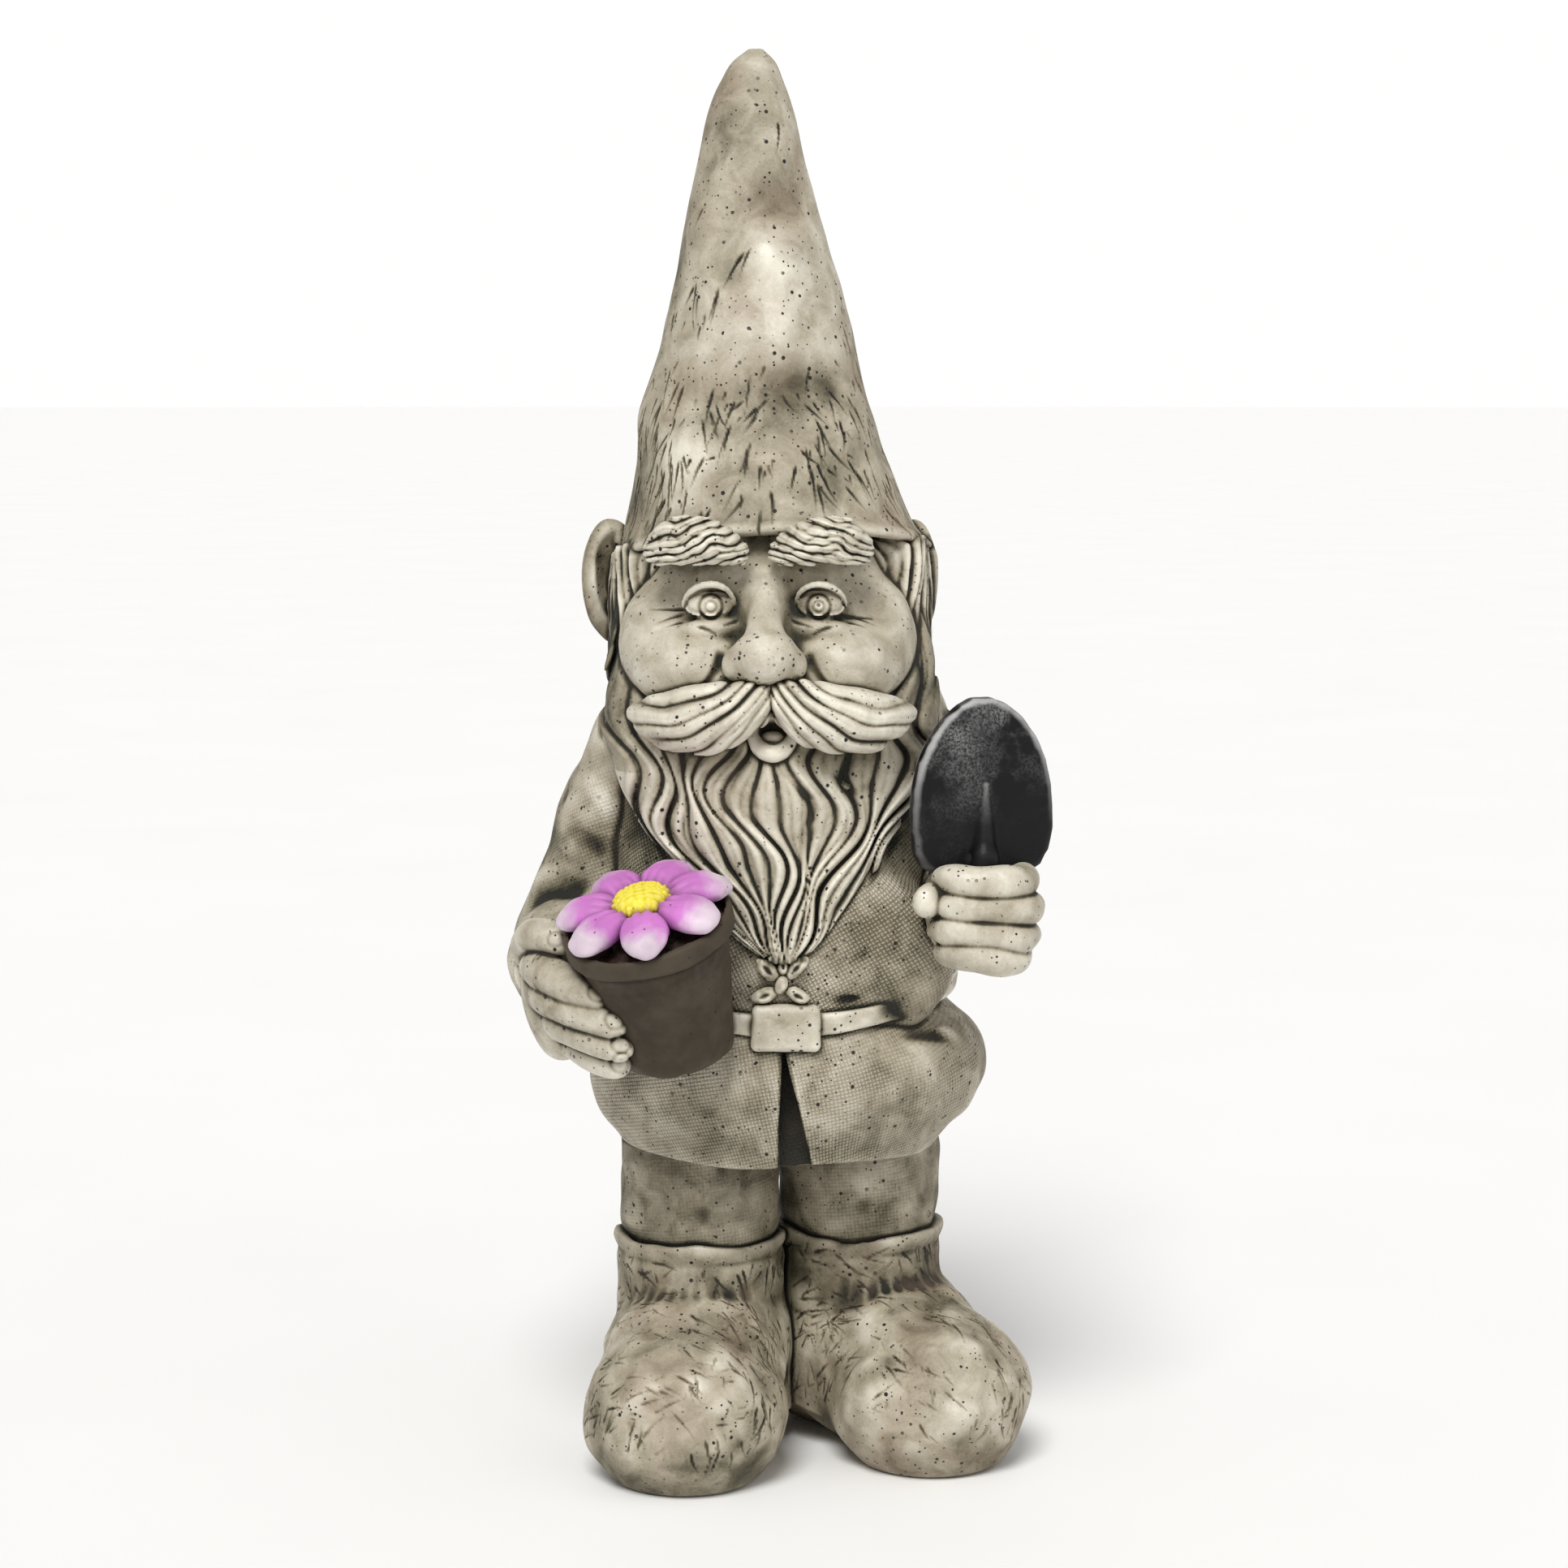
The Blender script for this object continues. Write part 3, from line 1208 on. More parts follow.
def model_jacket():
    clay = Clay((-106, -102, 248), (100, 96, 450), 1.25)
    clay.add(stack(TORSO_RINGS), 0)
    # the wrapped front: the left panel laps over the right
    clay.add(egg((30, -58, 300), (66, 35, 52), (0, 22, 0)), 6)
    clay.relief(soft_folds(30, 81), tone=0.14)
    creases = fold_lines(
        [
            ((20, -98, 273), (78, -62, 286), 3.2, -3.2),
            ((12, -99, 281), (80, -66, 303), 5.0, 2.2),
            ((34, -96, 296), (88, -50, 332), 4.5, -2.2),
            ((5, -100, 290), (-40, -90, 345), 2.2, -2.6),
            ((-4, -99, 290), (-50, -86, 350), 3.5, 2.2),
            ((-30, -92, 272), (-80, -52, 280), 5, -2.0),
            ((20, 84, 280), (70, 60, 300), 6, -2.5),
            ((-60, 66, 300), (10, 86, 330), 8, -2.0),
            ((-30, 84, 372), (40, 78, 350), 9, 2.2),
        ]
    )
    clay.relief(creases, tone=0.12)
    clay.trim(lambda x, y, z: z - 444, 2)

    def under_arms(points):
        x, y, z = points.T
        beside = 0.55 * np.exp(-(((x + 78) / 20) ** 2)) * (y < 0) * np.clip((z - 330) / 40, 0, 1)
        return beside + 0.45 * np.exp(-(((x - 74) / 16) ** 2)) * (y < 0) * np.clip((z - 320) / 40, 0, 1)

    lines = cloth_lines(-3, -3, 95, 28)
    cast("jacket", clay, cloth_stone(), "cloth_stone", ["jacket_body"], extra=lines, stain=under_arms)
    collar = Clay((-106, -100, 388), (98, 92, 466), 1.0)
    middle, normal = np.array((-5.0, -4.0, 429.0)), np.array((0.0, -0.29, 0.957))

    def band(x, y, z):
        up = (x - middle[0]) * normal[0] + (y - middle[1]) * normal[1] + (z - middle[2]) * normal[2]
        flare = 84 - up * 0.35
        round_way = np.sqrt(((x - middle[0]) / 1.06) ** 2 + (y - middle[1]) ** 2 + (up * 0.2) ** 2)
        across, over = np.maximum(np.abs(round_way - flare) - 4, 0), np.maximum(np.abs(up) - 7, 0)
        return np.sqrt(across**2 + over**2) - 3.5

    collar.fill(band)
    collar.relief(soft_folds(18, 84, 0.5), tone=0.2)
    cast("collar", collar, cloth_stone(), "cloth_stone", ["jacket_collar"], extra=cloth_lines(-3, -3, 95, 60))


def model_skirt():
    clay = Clay((-118, -110, 172), (122, 100, 274), 1.25)
    clay.add(stack(SKIRT_RINGS), 0)
    # hollow under the hem, and the slit that opens down the front
    hollow = stack([(164, -3, -4, 78, 70), (186, -2.5, -4, 84, 75)])
    clay.cut(hollow, 2)

    def slit(x, y, z):
        right = 1.5 + np.clip((250 - z) / 70, 0, 1) * 13.5
        inside = np.maximum(-2.5 - x, x - right)
        return np.maximum(np.maximum(inside, y + 82), z - 250)

    clay.cut((np.array((-3, -112, 160)), np.array((16, -80, 250)), slit), 1.2)
    clay.relief(soft_folds(34, 91, 1.1), tone=0.14)
    creases = fold_lines(
        [
            ((60, -84, 256), (96, -46, 246), 5, -3.5),
            ((84, -64, 262), (100, -40, 240), 4, 3.0),
            ((70, -80, 250), (88, -66, 214), 9, 2.5),
            ((-50, -92, 252), (-88, -60, 206), 10, 2.6),
            ((30, -100, 250), (40, -98, 190), 12, 2.0),
            ((-25, -100, 250), (-30, -98, 190), 12, 1.4),
            ((60, 76, 250), (70, 72, 190), 10, -3),
            ((0, 92, 250), (6, 90, 190), 10, -3),
            ((-56, 76, 250), (-60, 76, 190), 10, -3),
            ((102, 10, 250), (104, 6, 195), 9, -2.5),
            ((-98, 20, 250), (-100, 24, 195), 9, -2.5),
        ]
    )
    clay.relief(creases, tone=0.1)
    clay.trim(lambda x, y, z: HEM + 1.5 * np.sin(x / 17) - z, 1.5)

    def inside_slit(points):
        x, y, z = points.T
        cut_face = np.clip(1 - slit(x, y, z) / 1.5, 0, 1) * (z > 160)
        return cut_face * np.clip((y + 101) / 6, 0.4, 1) + 0.9 * (hollow[2](x, y, z) < 1)

    lines = cloth_lines(-3, -3, 100, 12)
    cast("skirt", clay, cloth_stone(), "cloth_stone", ["jacket_skirt"], extra=lines, stain=inside_slit)


def belt_middle(x):
    """Height of the belt's middle line: it climbs over the hips."""
    return 262 + 13 * np.clip(np.abs(x - 1) / 97, 0, 1.1) ** 1.6


def model_belt():
    clay = Clay((-112, -108, 246), (106, 96, 292), 1.0)
    rings = np.array(TORSO_RINGS, float)

    def strap(x, y, z):
        cx, cy, w, h = (smooth_curve(rings[:, 0], rings[:, i], z) for i in (1, 2, 3, 4))
        side = (np.sqrt(((x - cx) / w) ** 2 + ((y - cy) / h) ** 2) - 1) * h
        around = np.arctan2(x - cx, cy - y)
        level = z - belt_middle(x) - 4 * np.clip(-np.cos(around), 0, 1)
        gap = np.maximum(np.abs(side - 3.0) - 3.0, 0) ** 2 + np.maximum(np.abs(level) - 4.2, 0) ** 2
        return np.sqrt(gap) - 1.8

    clay.fill(strap)
    clay.relief(swells(0.6, (9, 9, 6), 95), tone=0.2)
    cast("belt", clay, plain_cloth_stone(), "belt_stone", ["belt"])
    plate = Clay((-24, -116, 242), (26, -88, 282), 0.6)
    plate.add(block((1, -99.5, 262), (19, 4.6, 13), 3.8), 0)
    plate.relief(swells(0.6, (9, 9, 7), 97), tone=0.25)
    plate.relief(lambda x, y, z: 1.2 * (1 - ((x - 1) / 19) ** 2) * (1 - ((z - 262) / 13) ** 2), tone=0.08)
    cast("buckle_plate", plate, plain_cloth_stone(), "belt_stone", ["belt_buckle"])


# Each lobe of the bow from its knot: x, z, turn in degrees, half length, half width.
BOW_LOBES = (
    (-8, 8, 44, 8.0, 4.4),
    (8, 9.5, -48, 8.2, 4.2),
    (-9.5, -6, -20, 7.4, 4.4),
    (8.5, -6, 30, 7.0, 4.0),
    (0.5, 10, 88, 5, 3.0),
)


def model_bow():
    clay = Clay((-20, -110, 266), (18, -84, 308), 0.45)
    for x, z, turn, long, wide in BOW_LOBES:
        clay.add(egg((-1 + x, -99, 286 + z), (long, 3.6, wide), (0, turn, 0)), 0.6)
        hollow = (long * 0.55, 1.8, wide * 0.42)
        clay.cut(egg((-1 + x * 1.05, -102.8, 286 + z * 1.05), hollow, (0, turn, 0)), 0.8)
    clay.add(egg((-1.5, -100.5, 286), (3.4, 3.6, 5.2), (0, 20, 0)), 0.6)
    clay.relief(swells(0.5, 3, 99), tone=0.4)
    cast("lace_bow", clay, carved_stone(), "cloth_stone", ["lace_bow"], fine=0.9, broad=2.6, strength=1.5)


CUFF_FRONT = -62  # y of both cuffs' ends
# Each arm from its shoulder to its wrist: x, y, z, radius.
RIGHT_ARM = (
    (-80, 4, 406, 31),
    (-96, 8, 356, 35),
    (-115, 11, 294, 37),
    (-121, -30, 287, 31),
    (-122, -54, 286, 28.5),
)
LEFT_ARM = (
    (74, 4, 406, 30),
    (87, 8, 364, 32),
    (99, 12, 330, 31),
    (101, -28, 326, 28),
    (102, -56, 324, 24),
)


def model_sleeves():
    def cuff(clay):
        for y in (-58.5, -51.0):
            clay.relief(lambda x, py, z, y=y: -1.4 * np.exp(-(((py - y) / 1.2) ** 2)))

    clay = Clay((-160, -72, 244), (-54, 56, 446), 1.2)
    clay.run(RIGHT_ARM, 12)
    clay.add(egg((-112, 8, 270), (30, 32, 20)), 10)
    clay.trim(lambda x, y, z: CUFF_FRONT - y, 2)
    clay.relief(soft_folds(26, 101, 1.2), tone=0.14)
    creases = fold_lines(
        [
            ((-148, -6, 318), (-110, -30, 322), 7, -2.6),
            ((-150, 0, 330), (-112, -24, 340), 6, 3.0),
            ((-140, -20, 300), (-100, -30, 330), 5, 2.4),
            ((-128, -20, 372), (-100, -30, 345), 7, -2.4),
            ((-118, -22, 392), (-92, -32, 372), 7, 2.4),
            ((-148, 20, 300), (-120, 44, 310), 6, -3.0),
            ((-140, 24, 340), (-106, 42, 330), 8, 2.6),
            ((-146, -40, 300), (-120, -44, 316), 4, -2.2),
        ]
    )
    clay.relief(creases, tone=0.12)
    cuff(clay)

    def inner_side(points):
        return 0.45 * np.clip((points[:, 0] + 92) / 22, 0, 1) * (points[:, 1] < 10)

    lines = cloth_lines(-108, 8, 37, 20)
    cast("right_sleeve", clay, sleeve_stone(), "cloth_stone", ["right_sleeve"], extra=lines, stain=inner_side)
    clay = Clay((44, -72, 288), (138, 56, 446), 1.2)
    clay.run(LEFT_ARM, 10)
    clay.trim(lambda x, y, z: CUFF_FRONT - y, 2)
    clay.relief(soft_folds(24, 105, 1.1), tone=0.14)
    creases = fold_lines(
        [
            ((124, -10, 350), (92, -26, 352), 6, -3.0),
            ((126, 0, 366), (96, -22, 372), 7, 2.4),
            ((126, 16, 330), (104, 40, 336), 6, -2.8),
            ((120, 26, 362), (90, 40, 352), 8, 2.4),
        ]
    )
    clay.relief(creases, tone=0.12)
    cuff(clay)
    lines = cloth_lines(92, 8, 33, 20)
    cast("left_sleeve", clay, sleeve_stone(), "cloth_stone", ["left_sleeve"], extra=lines)


# Each finger of the right hand, from its knuckle to its tip.
RIGHT_FINGERS = (
    ((-137, -80, 293, 9.6), (-131, -108, 295, 10.2), (-116, -130, 291, 9.6), (-101, -138, 287, 8.0)),
    ((-135, -80, 280, 9.8), (-127, -110, 281, 10.2), (-110, -132, 277, 9.4), (-92, -139, 272, 8.2)),
    ((-130, -80, 267, 9.4), (-121, -108, 267, 9.8), (-106, -128, 263, 9.0), (-89, -134, 258, 8.0)),
    ((-123, -78, 255, 8.8), (-114, -101, 254, 8.8), (-103, -119, 250, 8.2), (-90, -125, 246, 7.2)),
)


# Each curled finger of the left hand: z, x of its tip, x of its knuckle, droop.
LEFT_FINGERS = ((343, 88, 132, -1), (329.5, 86, 135, -2.5), (316, 85, 133, -3.5), (303.5, 89, 128, -3))


def nail(clay, tip, out, along, length, width):
    """A finger nail: a shallow plate with a groove round it."""
    tip, out, along = (np.array(v, float) for v in (tip, out, along))
    out = out / np.linalg.norm(out)
    along = along - out * (along @ out)
    along = along / np.linalg.norm(along)
    side = np.cross(out, along)

    def groove(x, y, z):
        w = (x - tip[0], y - tip[1], z - tip[2])
        a = sum(p * q for p, q in zip(w, along)) / length
        b = sum(p * q for p, q in zip(w, side)) / width
        c = sum(p * q for p, q in zip(w, out))
        edge = np.sqrt(a * a + b * b)
        face = (c > -4) & (edge < 1.7)
        return np.where(face, -0.8 * np.exp(-(((edge - 1) / 0.22) ** 2)), 0)

    clay.relief(groove, 4)


def fingers_onto(clay, fingers, soft):
    """Adds each finger as its own roll, so that a crease stays between neighbours."""
    for joints in fingers:
        finger = clay.blank()
        finger.run(curve(joints, 4), 2)
        clay.d = join(clay.d, finger.d, soft)


def model_right_hand():
    clay = Clay((-158, -150, 226), (-72, -44, 334), 0.8)
    clay.add(egg((-127, -76, 282), (19, 27, 31), (0, 0, 8)), 0)
    clay.add(egg((-122, -88, 266), (17, 22, 24)), 6)
    thumb = [(-140, -66, 300, 12), (-137, -88, 310, 10.5), (-128, -106, 313, 9), (-122, -114, 312, 7.4)]
    fingers_onto(clay, [*RIGHT_FINGERS, thumb], 1.6)
    clay.relief(swells(0.7, 14, 111), tone=0.2)
    for joints in RIGHT_FINGERS:
        end, before = np.array(joints[-1]), np.array(joints[-2])
        nail(clay, end[:3] + np.array((0.5, -3, 1.5)), (0.25, -1.0, 0.30), end[:3] - before[:3], 5.2, 4.6)
    nail(clay, (-123, -118, 314), (-0.25, -1.0, 0.3), (0.4, -0.6, 0.2), 5.0, 4.2)

    def creases(points, normals):
        found = []
        for joints in RIGHT_FINGERS:
            knuckle = np.array(joints[1][:3])
            for shift in (-2.4, 1.6):
                gap = np.linalg.norm(points - (knuckle + np.array((shift - 3, -8, 5))), axis=1)
                index = int(np.argmin(gap))
                out = normals[index]
                along = np.cross(out, np.array((0.8, -0.6, 0.0)))
                found.append((points[index], along / np.linalg.norm(along), out, 7, 0.8, 0.5, 0.1))
        return found

    cast(
        "right_hand", clay, pale_stone(), "pale_stone", ["right_hand"], creases,
        fine=1.6, broad=4.5, strength=1.1,
    )


def model_left_hand():
    clay = Clay((62, -124, 284), (150, -50, 366), 0.8)
    clay.add(egg((107, -80, 322), (29, 20, 28)), 0)
    rolls = []
    for z, start, end, droop in LEFT_FINGERS:
        tip = [(start, -94, z, 7.4), (start + 7, -103, z + 0.6, 8.6), (start + 18, -106, z - 0.4, 8.4)]
        knuckle = [(end - 12, -104, z + droop / 2, 9.4), (end - 4, -98, z + droop, 9.2)]
        rolls.append((*tip, *knuckle, (end, -82, z + droop, 8.2)))
    fingers_onto(clay, rolls, 1.0)
    thumb = [(93, -80, 330, 10), (84, -92, 333, 8.2), (79, -99, 334, 7.4), (78, -101, 330, 7.2)]
    fingers_onto(clay, [thumb], 1.0)
    clay.relief(swells(1.1, (12, 12, 10), 115), tone=0.16)
    cast("left_hand", clay, pale_stone(), "pale_stone", ["left_hand"], fine=1.6, broad=4.5, strength=1.15)


# ---------------------------------------------------------------- pot and flower

POT_FOOT = np.array((-57.0, -104.0, 251.0))
POT_UP = unit((-17, -27, 76))  # the pot leans forward and to the gnome's right
POT_SIDE = unit(np.cross((0.0, 1.0, 0.0), POT_UP))
POT_FRONT = np.cross(POT_UP, POT_SIDE)
FLOWER_MIDDLE = POT_FOOT + POT_UP * 93.0
PETALS = 7


def pot_place(x, y, z):
    """Height above the pot's foot, distance from its axis, and the angle round it."""
    w = (x - POT_FOOT[0], y - POT_FOOT[1], z - POT_FOOT[2])
    up = sum(p * q for p, q in zip(w, POT_UP))
    a = sum(p * q for p, q in zip(w, POT_SIDE))
    b = sum(p * q for p, q in zip(w, POT_FRONT))
    return up, np.sqrt(a * a + b * b), np.arctan2(b, a)


def model_pot():
    low, high = (-126, -182, 236), (-12, -62, 352)

    def wall(x, y, z):
        up, out, _ = pot_place(x, y, z)
        radius = 30.5 + np.clip(up, 0, 82) * 0.172
        body = np.maximum(out - radius, np.maximum(-up, up - 72))
        rim = np.sqrt(np.maximum(out - 44.9, 0) ** 2 + np.maximum(np.abs(up - 76.6) - 3.8, 0) ** 2) - 1.8
        groove = np.sqrt((out - radius - 0.6) ** 2 + (up - 69.2) ** 2) - 1.5
        inner = np.maximum(out - 43, 73 - up)
        return np.maximum(np.maximum(join(body, rim, 1.0), -groove), -inner)

    clay = Clay(low, high, 1.0)
    clay.fill(wall)
    broad, finer = swells(0.8, 18, 121), swells(0.3, 6, 122)
    clay.relief(lambda x, y, z: broad(x, y, z) + finer(x, y, z), tone=0.1)

    def rubbed(n, patch, grain):
        return n.scale(n.ramp(n.add(patch, n.scale(n.value("worn"), 0.6)), [(0.45, 0.0), (0.85, 1.0)]), 0.34)

    pot = painted("Painted pot", colour("pot"), linear((98, 88, 72)), rubbed, 0.66, 0.3)
    cast("pot", clay, pot, "pot_stone", ["flower_pot"], strength=0.9)

    soil = Clay(low, high, 1.0)

    def heap(x, y, z):
        up, out, _ = pot_place(x, y, z)
        dome = 2.5 * np.cos(np.clip(out / 43, 0, 1) * math.pi / 2)
        return np.maximum(out - 28.5 - up * 0.172, np.maximum(60 - up, up - 76 - dome))

    soil.fill(heap)
    clods, grit = swells(1.5, 4, 125), swells(0.9, 2, 126)
    soil.relief(lambda x, y, z: clods(x, y, z) + grit(x, y, z))

    def dusted(n, patch, grain):
        return n.scale(grain, 0.5)

    crumbs = painted("Painted soil", colour("soil"), linear((96, 74, 66)), dusted, 0.72, 0.3)
    cast("soil", soil, crumbs, "soil_stone", ["pot_soil"], fine=1.6, broad=4)


def flower_place(x, y, z):
    """Height over the petals' plane and the two distances in it."""
    w = (x - FLOWER_MIDDLE[0], y - FLOWER_MIDDLE[1], z - FLOWER_MIDDLE[2])
    return (sum(p * q for p, q in zip(w, axis)) for axis in (POT_UP, POT_SIDE, POT_FRONT))


def model_flower():
    def frosting(n, patch, grain):
        tip = n.value("tip")
        uneven = n.scale(n.math("SUBTRACT", patch, 0.5), 0.9)
        return n.ramp(n.add(n.scale(tip, 1.1), uneven), [(0.55, 0.0), (1.05, 1.0)])

    pink = painted("Painted petal", colour("petal"), colour("petal_tip"), frosting, 0.5, 0.4)
    for index in range(PETALS):
        angle = math.radians(index * 360 / PETALS + 12)
        aside = POT_SIDE * math.cos(angle) + POT_FRONT * math.sin(angle)
        centre = FLOWER_MIDDLE + aside * 31 - POT_UP * 1.0
        clay = Clay(centre - 28, centre + 28, 0.7)
        up, a, b = flower_place(*clay.grid())
        along = a * math.cos(angle) + b * math.sin(angle) - 30
        across = -a * math.sin(angle) + b * math.cos(angle)
        bend = up + 1.5 + 0.006 * (along + 8) ** 2
        wide = 14.2 * (0.78 + 0.22 * np.clip((along + 16) / 24, 0, 1))
        k = np.sqrt((along / 20) ** 2 + (across / wide) ** 2 + (bend / 8.0) ** 2)
        clay.d = ((k - 1) * 8.2).astype(np.float32)

        def lines(x, y, z, angle=angle):
            _, a, b = flower_place(x, y, z)
            along = a * math.cos(angle) + b * math.sin(angle)
            across = -a * math.sin(angle) + b * math.cos(angle)
            near = np.clip((34 - along) / 20, 0, 1)
            grooves = -1.5 * near * hump(across, 1.6) - near * hump(np.abs(across) - 6, 1.3)
            return grooves + 0.5 * noise(x / 6, y / 6, z / 6, 131)

        clay.relief(lines)

        def tip_value(points, angle=angle):
            _, a, b = flower_place(*points.T)
            return {"tip": np.clip((np.sqrt(a * a + b * b) - 18) / 30, 0, 1)}

        name, nodes = f"flower_petal_{index + 1}", [f"petal_{index + 1}"]
        cast(name, clay, pink, "pink_paint", nodes, extra=tip_value, fine=1.4, broad=4)

    clay = Clay(FLOWER_MIDDLE - 24, FLOWER_MIDDLE + 24, 0.6)
    up, a, b = flower_place(*clay.grid())
    k = np.sqrt((a / 15.6) ** 2 + (b / 15.6) ** 2 + ((up - 1.5) / 7.0) ** 2)
    clay.d = ((k - 1) * 7).astype(np.float32)

    def dimples(x, y, z):
        _, a, b = flower_place(x, y, z)
        cell = np.stack([a / 2.6, b / 2.6], -1)
        base = np.floor(cell)
        near = np.full(len(a), 9.0, np.float32)
        for i in (-1, 0, 1):
            for j in (-1, 0, 1):
                c = base + (i, j)
                spot = c + np.stack([lattice(c[:, 0], c[:, 1], k, 141) for k in (0, 1)], -1)
                near = np.minimum(near, np.linalg.norm(cell - spot, axis=1))
        return 1.2 * (0.55 - near)

    clay.relief(dimples)

    def rubbed(n, patch, grain):
        return n.scale(n.value("worn"), 0.6)

    yellow = painted("Painted flower eye", colour("flower_eye"), linear((255, 246, 150)), rubbed, 0.55)
    cast("flower_eye", clay, yellow, "yellow_paint", ["flower_centre"], fine=0.9, broad=2.5, strength=0.8)


# ---------------------------------------------------------------- trowel


def model_trowel():
    middle = np.array((108.5, -77.0, 393.0))
    turn = math.radians(16)
    aside = np.array((math.cos(turn), math.sin(turn), 0.0))
    out = np.array((math.sin(turn), -math.cos(turn), 0.0))
    level = [-48, -44, -36, -24, -12, 0, 14, 28, 38, 45, 48.5, 50.0]
    half = [27, 34, 38.6, 40.4, 40.6, 39.6, 36.4, 29.8, 22.5, 14, 7.5, 1.0]

    def blade(x, y, z):
        w = (x - middle[0], y - middle[1], z - middle[2])
        s = sum(p * q for p, q in zip(w, aside))
        f = sum(p * q for p, q in zip(w, out))
        up = w[2] + 0 * s
        edge = np.interp(up, level, half)
        lean = np.interp(up, level, np.gradient(half, level))
        flat = np.maximum((np.abs(s) - edge) / np.sqrt(1 + lean**2), np.maximum(up - 49, -47 - up))
        dome = 7.6 - 1.6 * (s / 40) ** 2 - 1.2 * np.clip(up / 48, 0, 1) ** 2
        corner = 2.6
        a, b = flat + corner, np.abs(f) - dome + corner
        outside = np.sqrt(np.maximum(a, 0) ** 2 + np.maximum(b, 0) ** 2)
        return np.minimum(np.maximum(a, b), 0) + outside - corner

    clay = Clay((58, -112, 334), (158, -48, 450), 0.8)
    clay.fill(blade)
    broad, finer = swells(0.7, 16, 151), swells(0.25, 5, 152)
    clay.relief(lambda x, y, z: broad(x, y, z) + finer(x, y, z))
    front = middle + out * 6.5
    clay.add(bar((front[0], front[1], 394, 1.6), (front[0] - 0.5, front[1] - 3, 352, 7.0)), 5)
    clay.add(bar((front[0] - 0.5, front[1] - 3, 354, 8.0), (106, -87, 340, 8.6)), 3)

    def silvering(n, patch, grain):
        cloud = n.ramp(n.lumps(22, 4.0, 0.65), [(0.42, 0.0), (0.70, 1.0)])
        dust = n.math("MULTIPLY", cloud, n.ramp(grain, [(0.40, 0.1), (0.62, 1.0)]))
        high = n.value("high")
        edge = n.ramp(n.value("worn"), [(0.16, 0.0), (0.50, 1.0)])
        dusted = n.math("MULTIPLY", dust, n.scale(high, 0.75))
        rub = n.add(dusted, n.math("MULTIPLY", edge, n.add(0.03, high)))
        return n.math("MINIMUM", rub, 1.0)

    def height(points):
        tall = np.clip((points[:, 2] - 372) / 55, 0, 1)
        star = np.exp(-((points[:, 0] - 108) ** 2 + (points[:, 2] - 397) ** 2) / 60)
        left = np.clip((106 - points[:, 0]) / 50, 0, 1) * (points[:, 1] < -74)
        return {"high": np.clip(tall + 0.3 * left + 0.8 * star * (points[:, 1] < -80), 0, 1)}

    black = painted("Painted trowel", colour("trowel"), colour("silver"), silvering, 0.44, 0.25)
    cast("trowel_blade", clay, black, "trowel_black", ["trowel_blade"], extra=height, fine=1.8, broad=5)
    grip = Clay((92, -102, 292), (122, -66, 366), 0.8)
    grip.add(bar((106, -84, 304, 8), (106, -84, 352, 8)), 0)
    grip.relief(swells(0.4, (6, 6, 10), 155))
    cast("trowel_grip", grip, black, "trowel_black", ["trowel_handle"], extra=height)


# ---------------------------------------------------------------- legs and boots


RIGHT_ANKLE = (-48, 0)
LEFT_ANKLE = (44, 22)


def model_trousers():
    for side, name, (x, y) in ((-1, "right_trouser_leg", RIGHT_ANKLE), (1, "left_trouser_leg", LEFT_ANKLE)):
        clay = Clay((x - 54, y - 54, 100), (x + 54, y + 54, 222), 1.2)
        rings = [(104, 38), (116, 41), (130, 45.5), (155, 46.2), (185, 46), (216, 44)]
        clay.add(stack([(z, x, y, r, r) for z, r in rings]), 0)
        clay.relief(soft_folds(26, 161 + side, 1.0), tone=0.07)
        creases = fold_lines(
            [
                ((x - 40, y - 22, 134), (x + 30, y - 36, 128), 6, 3.0),
                ((x - 38, y - 24, 148), (x + 10, y - 45, 142), 9, -2.0),
                ((x - 30, y - 34, 163), (x + 30, y - 36, 152), 8, 2.6),
                ((x - 36, y - 26, 178), (x + 20, y - 42, 170), 9, -1.6),
                ((x - 10, y + 45, 150), (x + 34, y + 28, 140), 8, -2.8),
                ((x - 34, y + 28, 168), (x + 10, y + 44, 160), 8, 2.6),
            ]
        )
        clay.relief(creases, tone=0.08)

        def above_boot(points):
            near_boot = np.clip((136 - points[:, 2]) / 18, 0, 1)
            return 0.40 * near_boot + 0.35 * np.clip((points[:, 2] - 178) / 14, 0, 1)

        lines = cloth_lines(x, y, 45, 6)
        cast(name, clay, trouser_stone(), "cloth_stone", [name], extra=lines, broad=7.0, stain=above_boot)


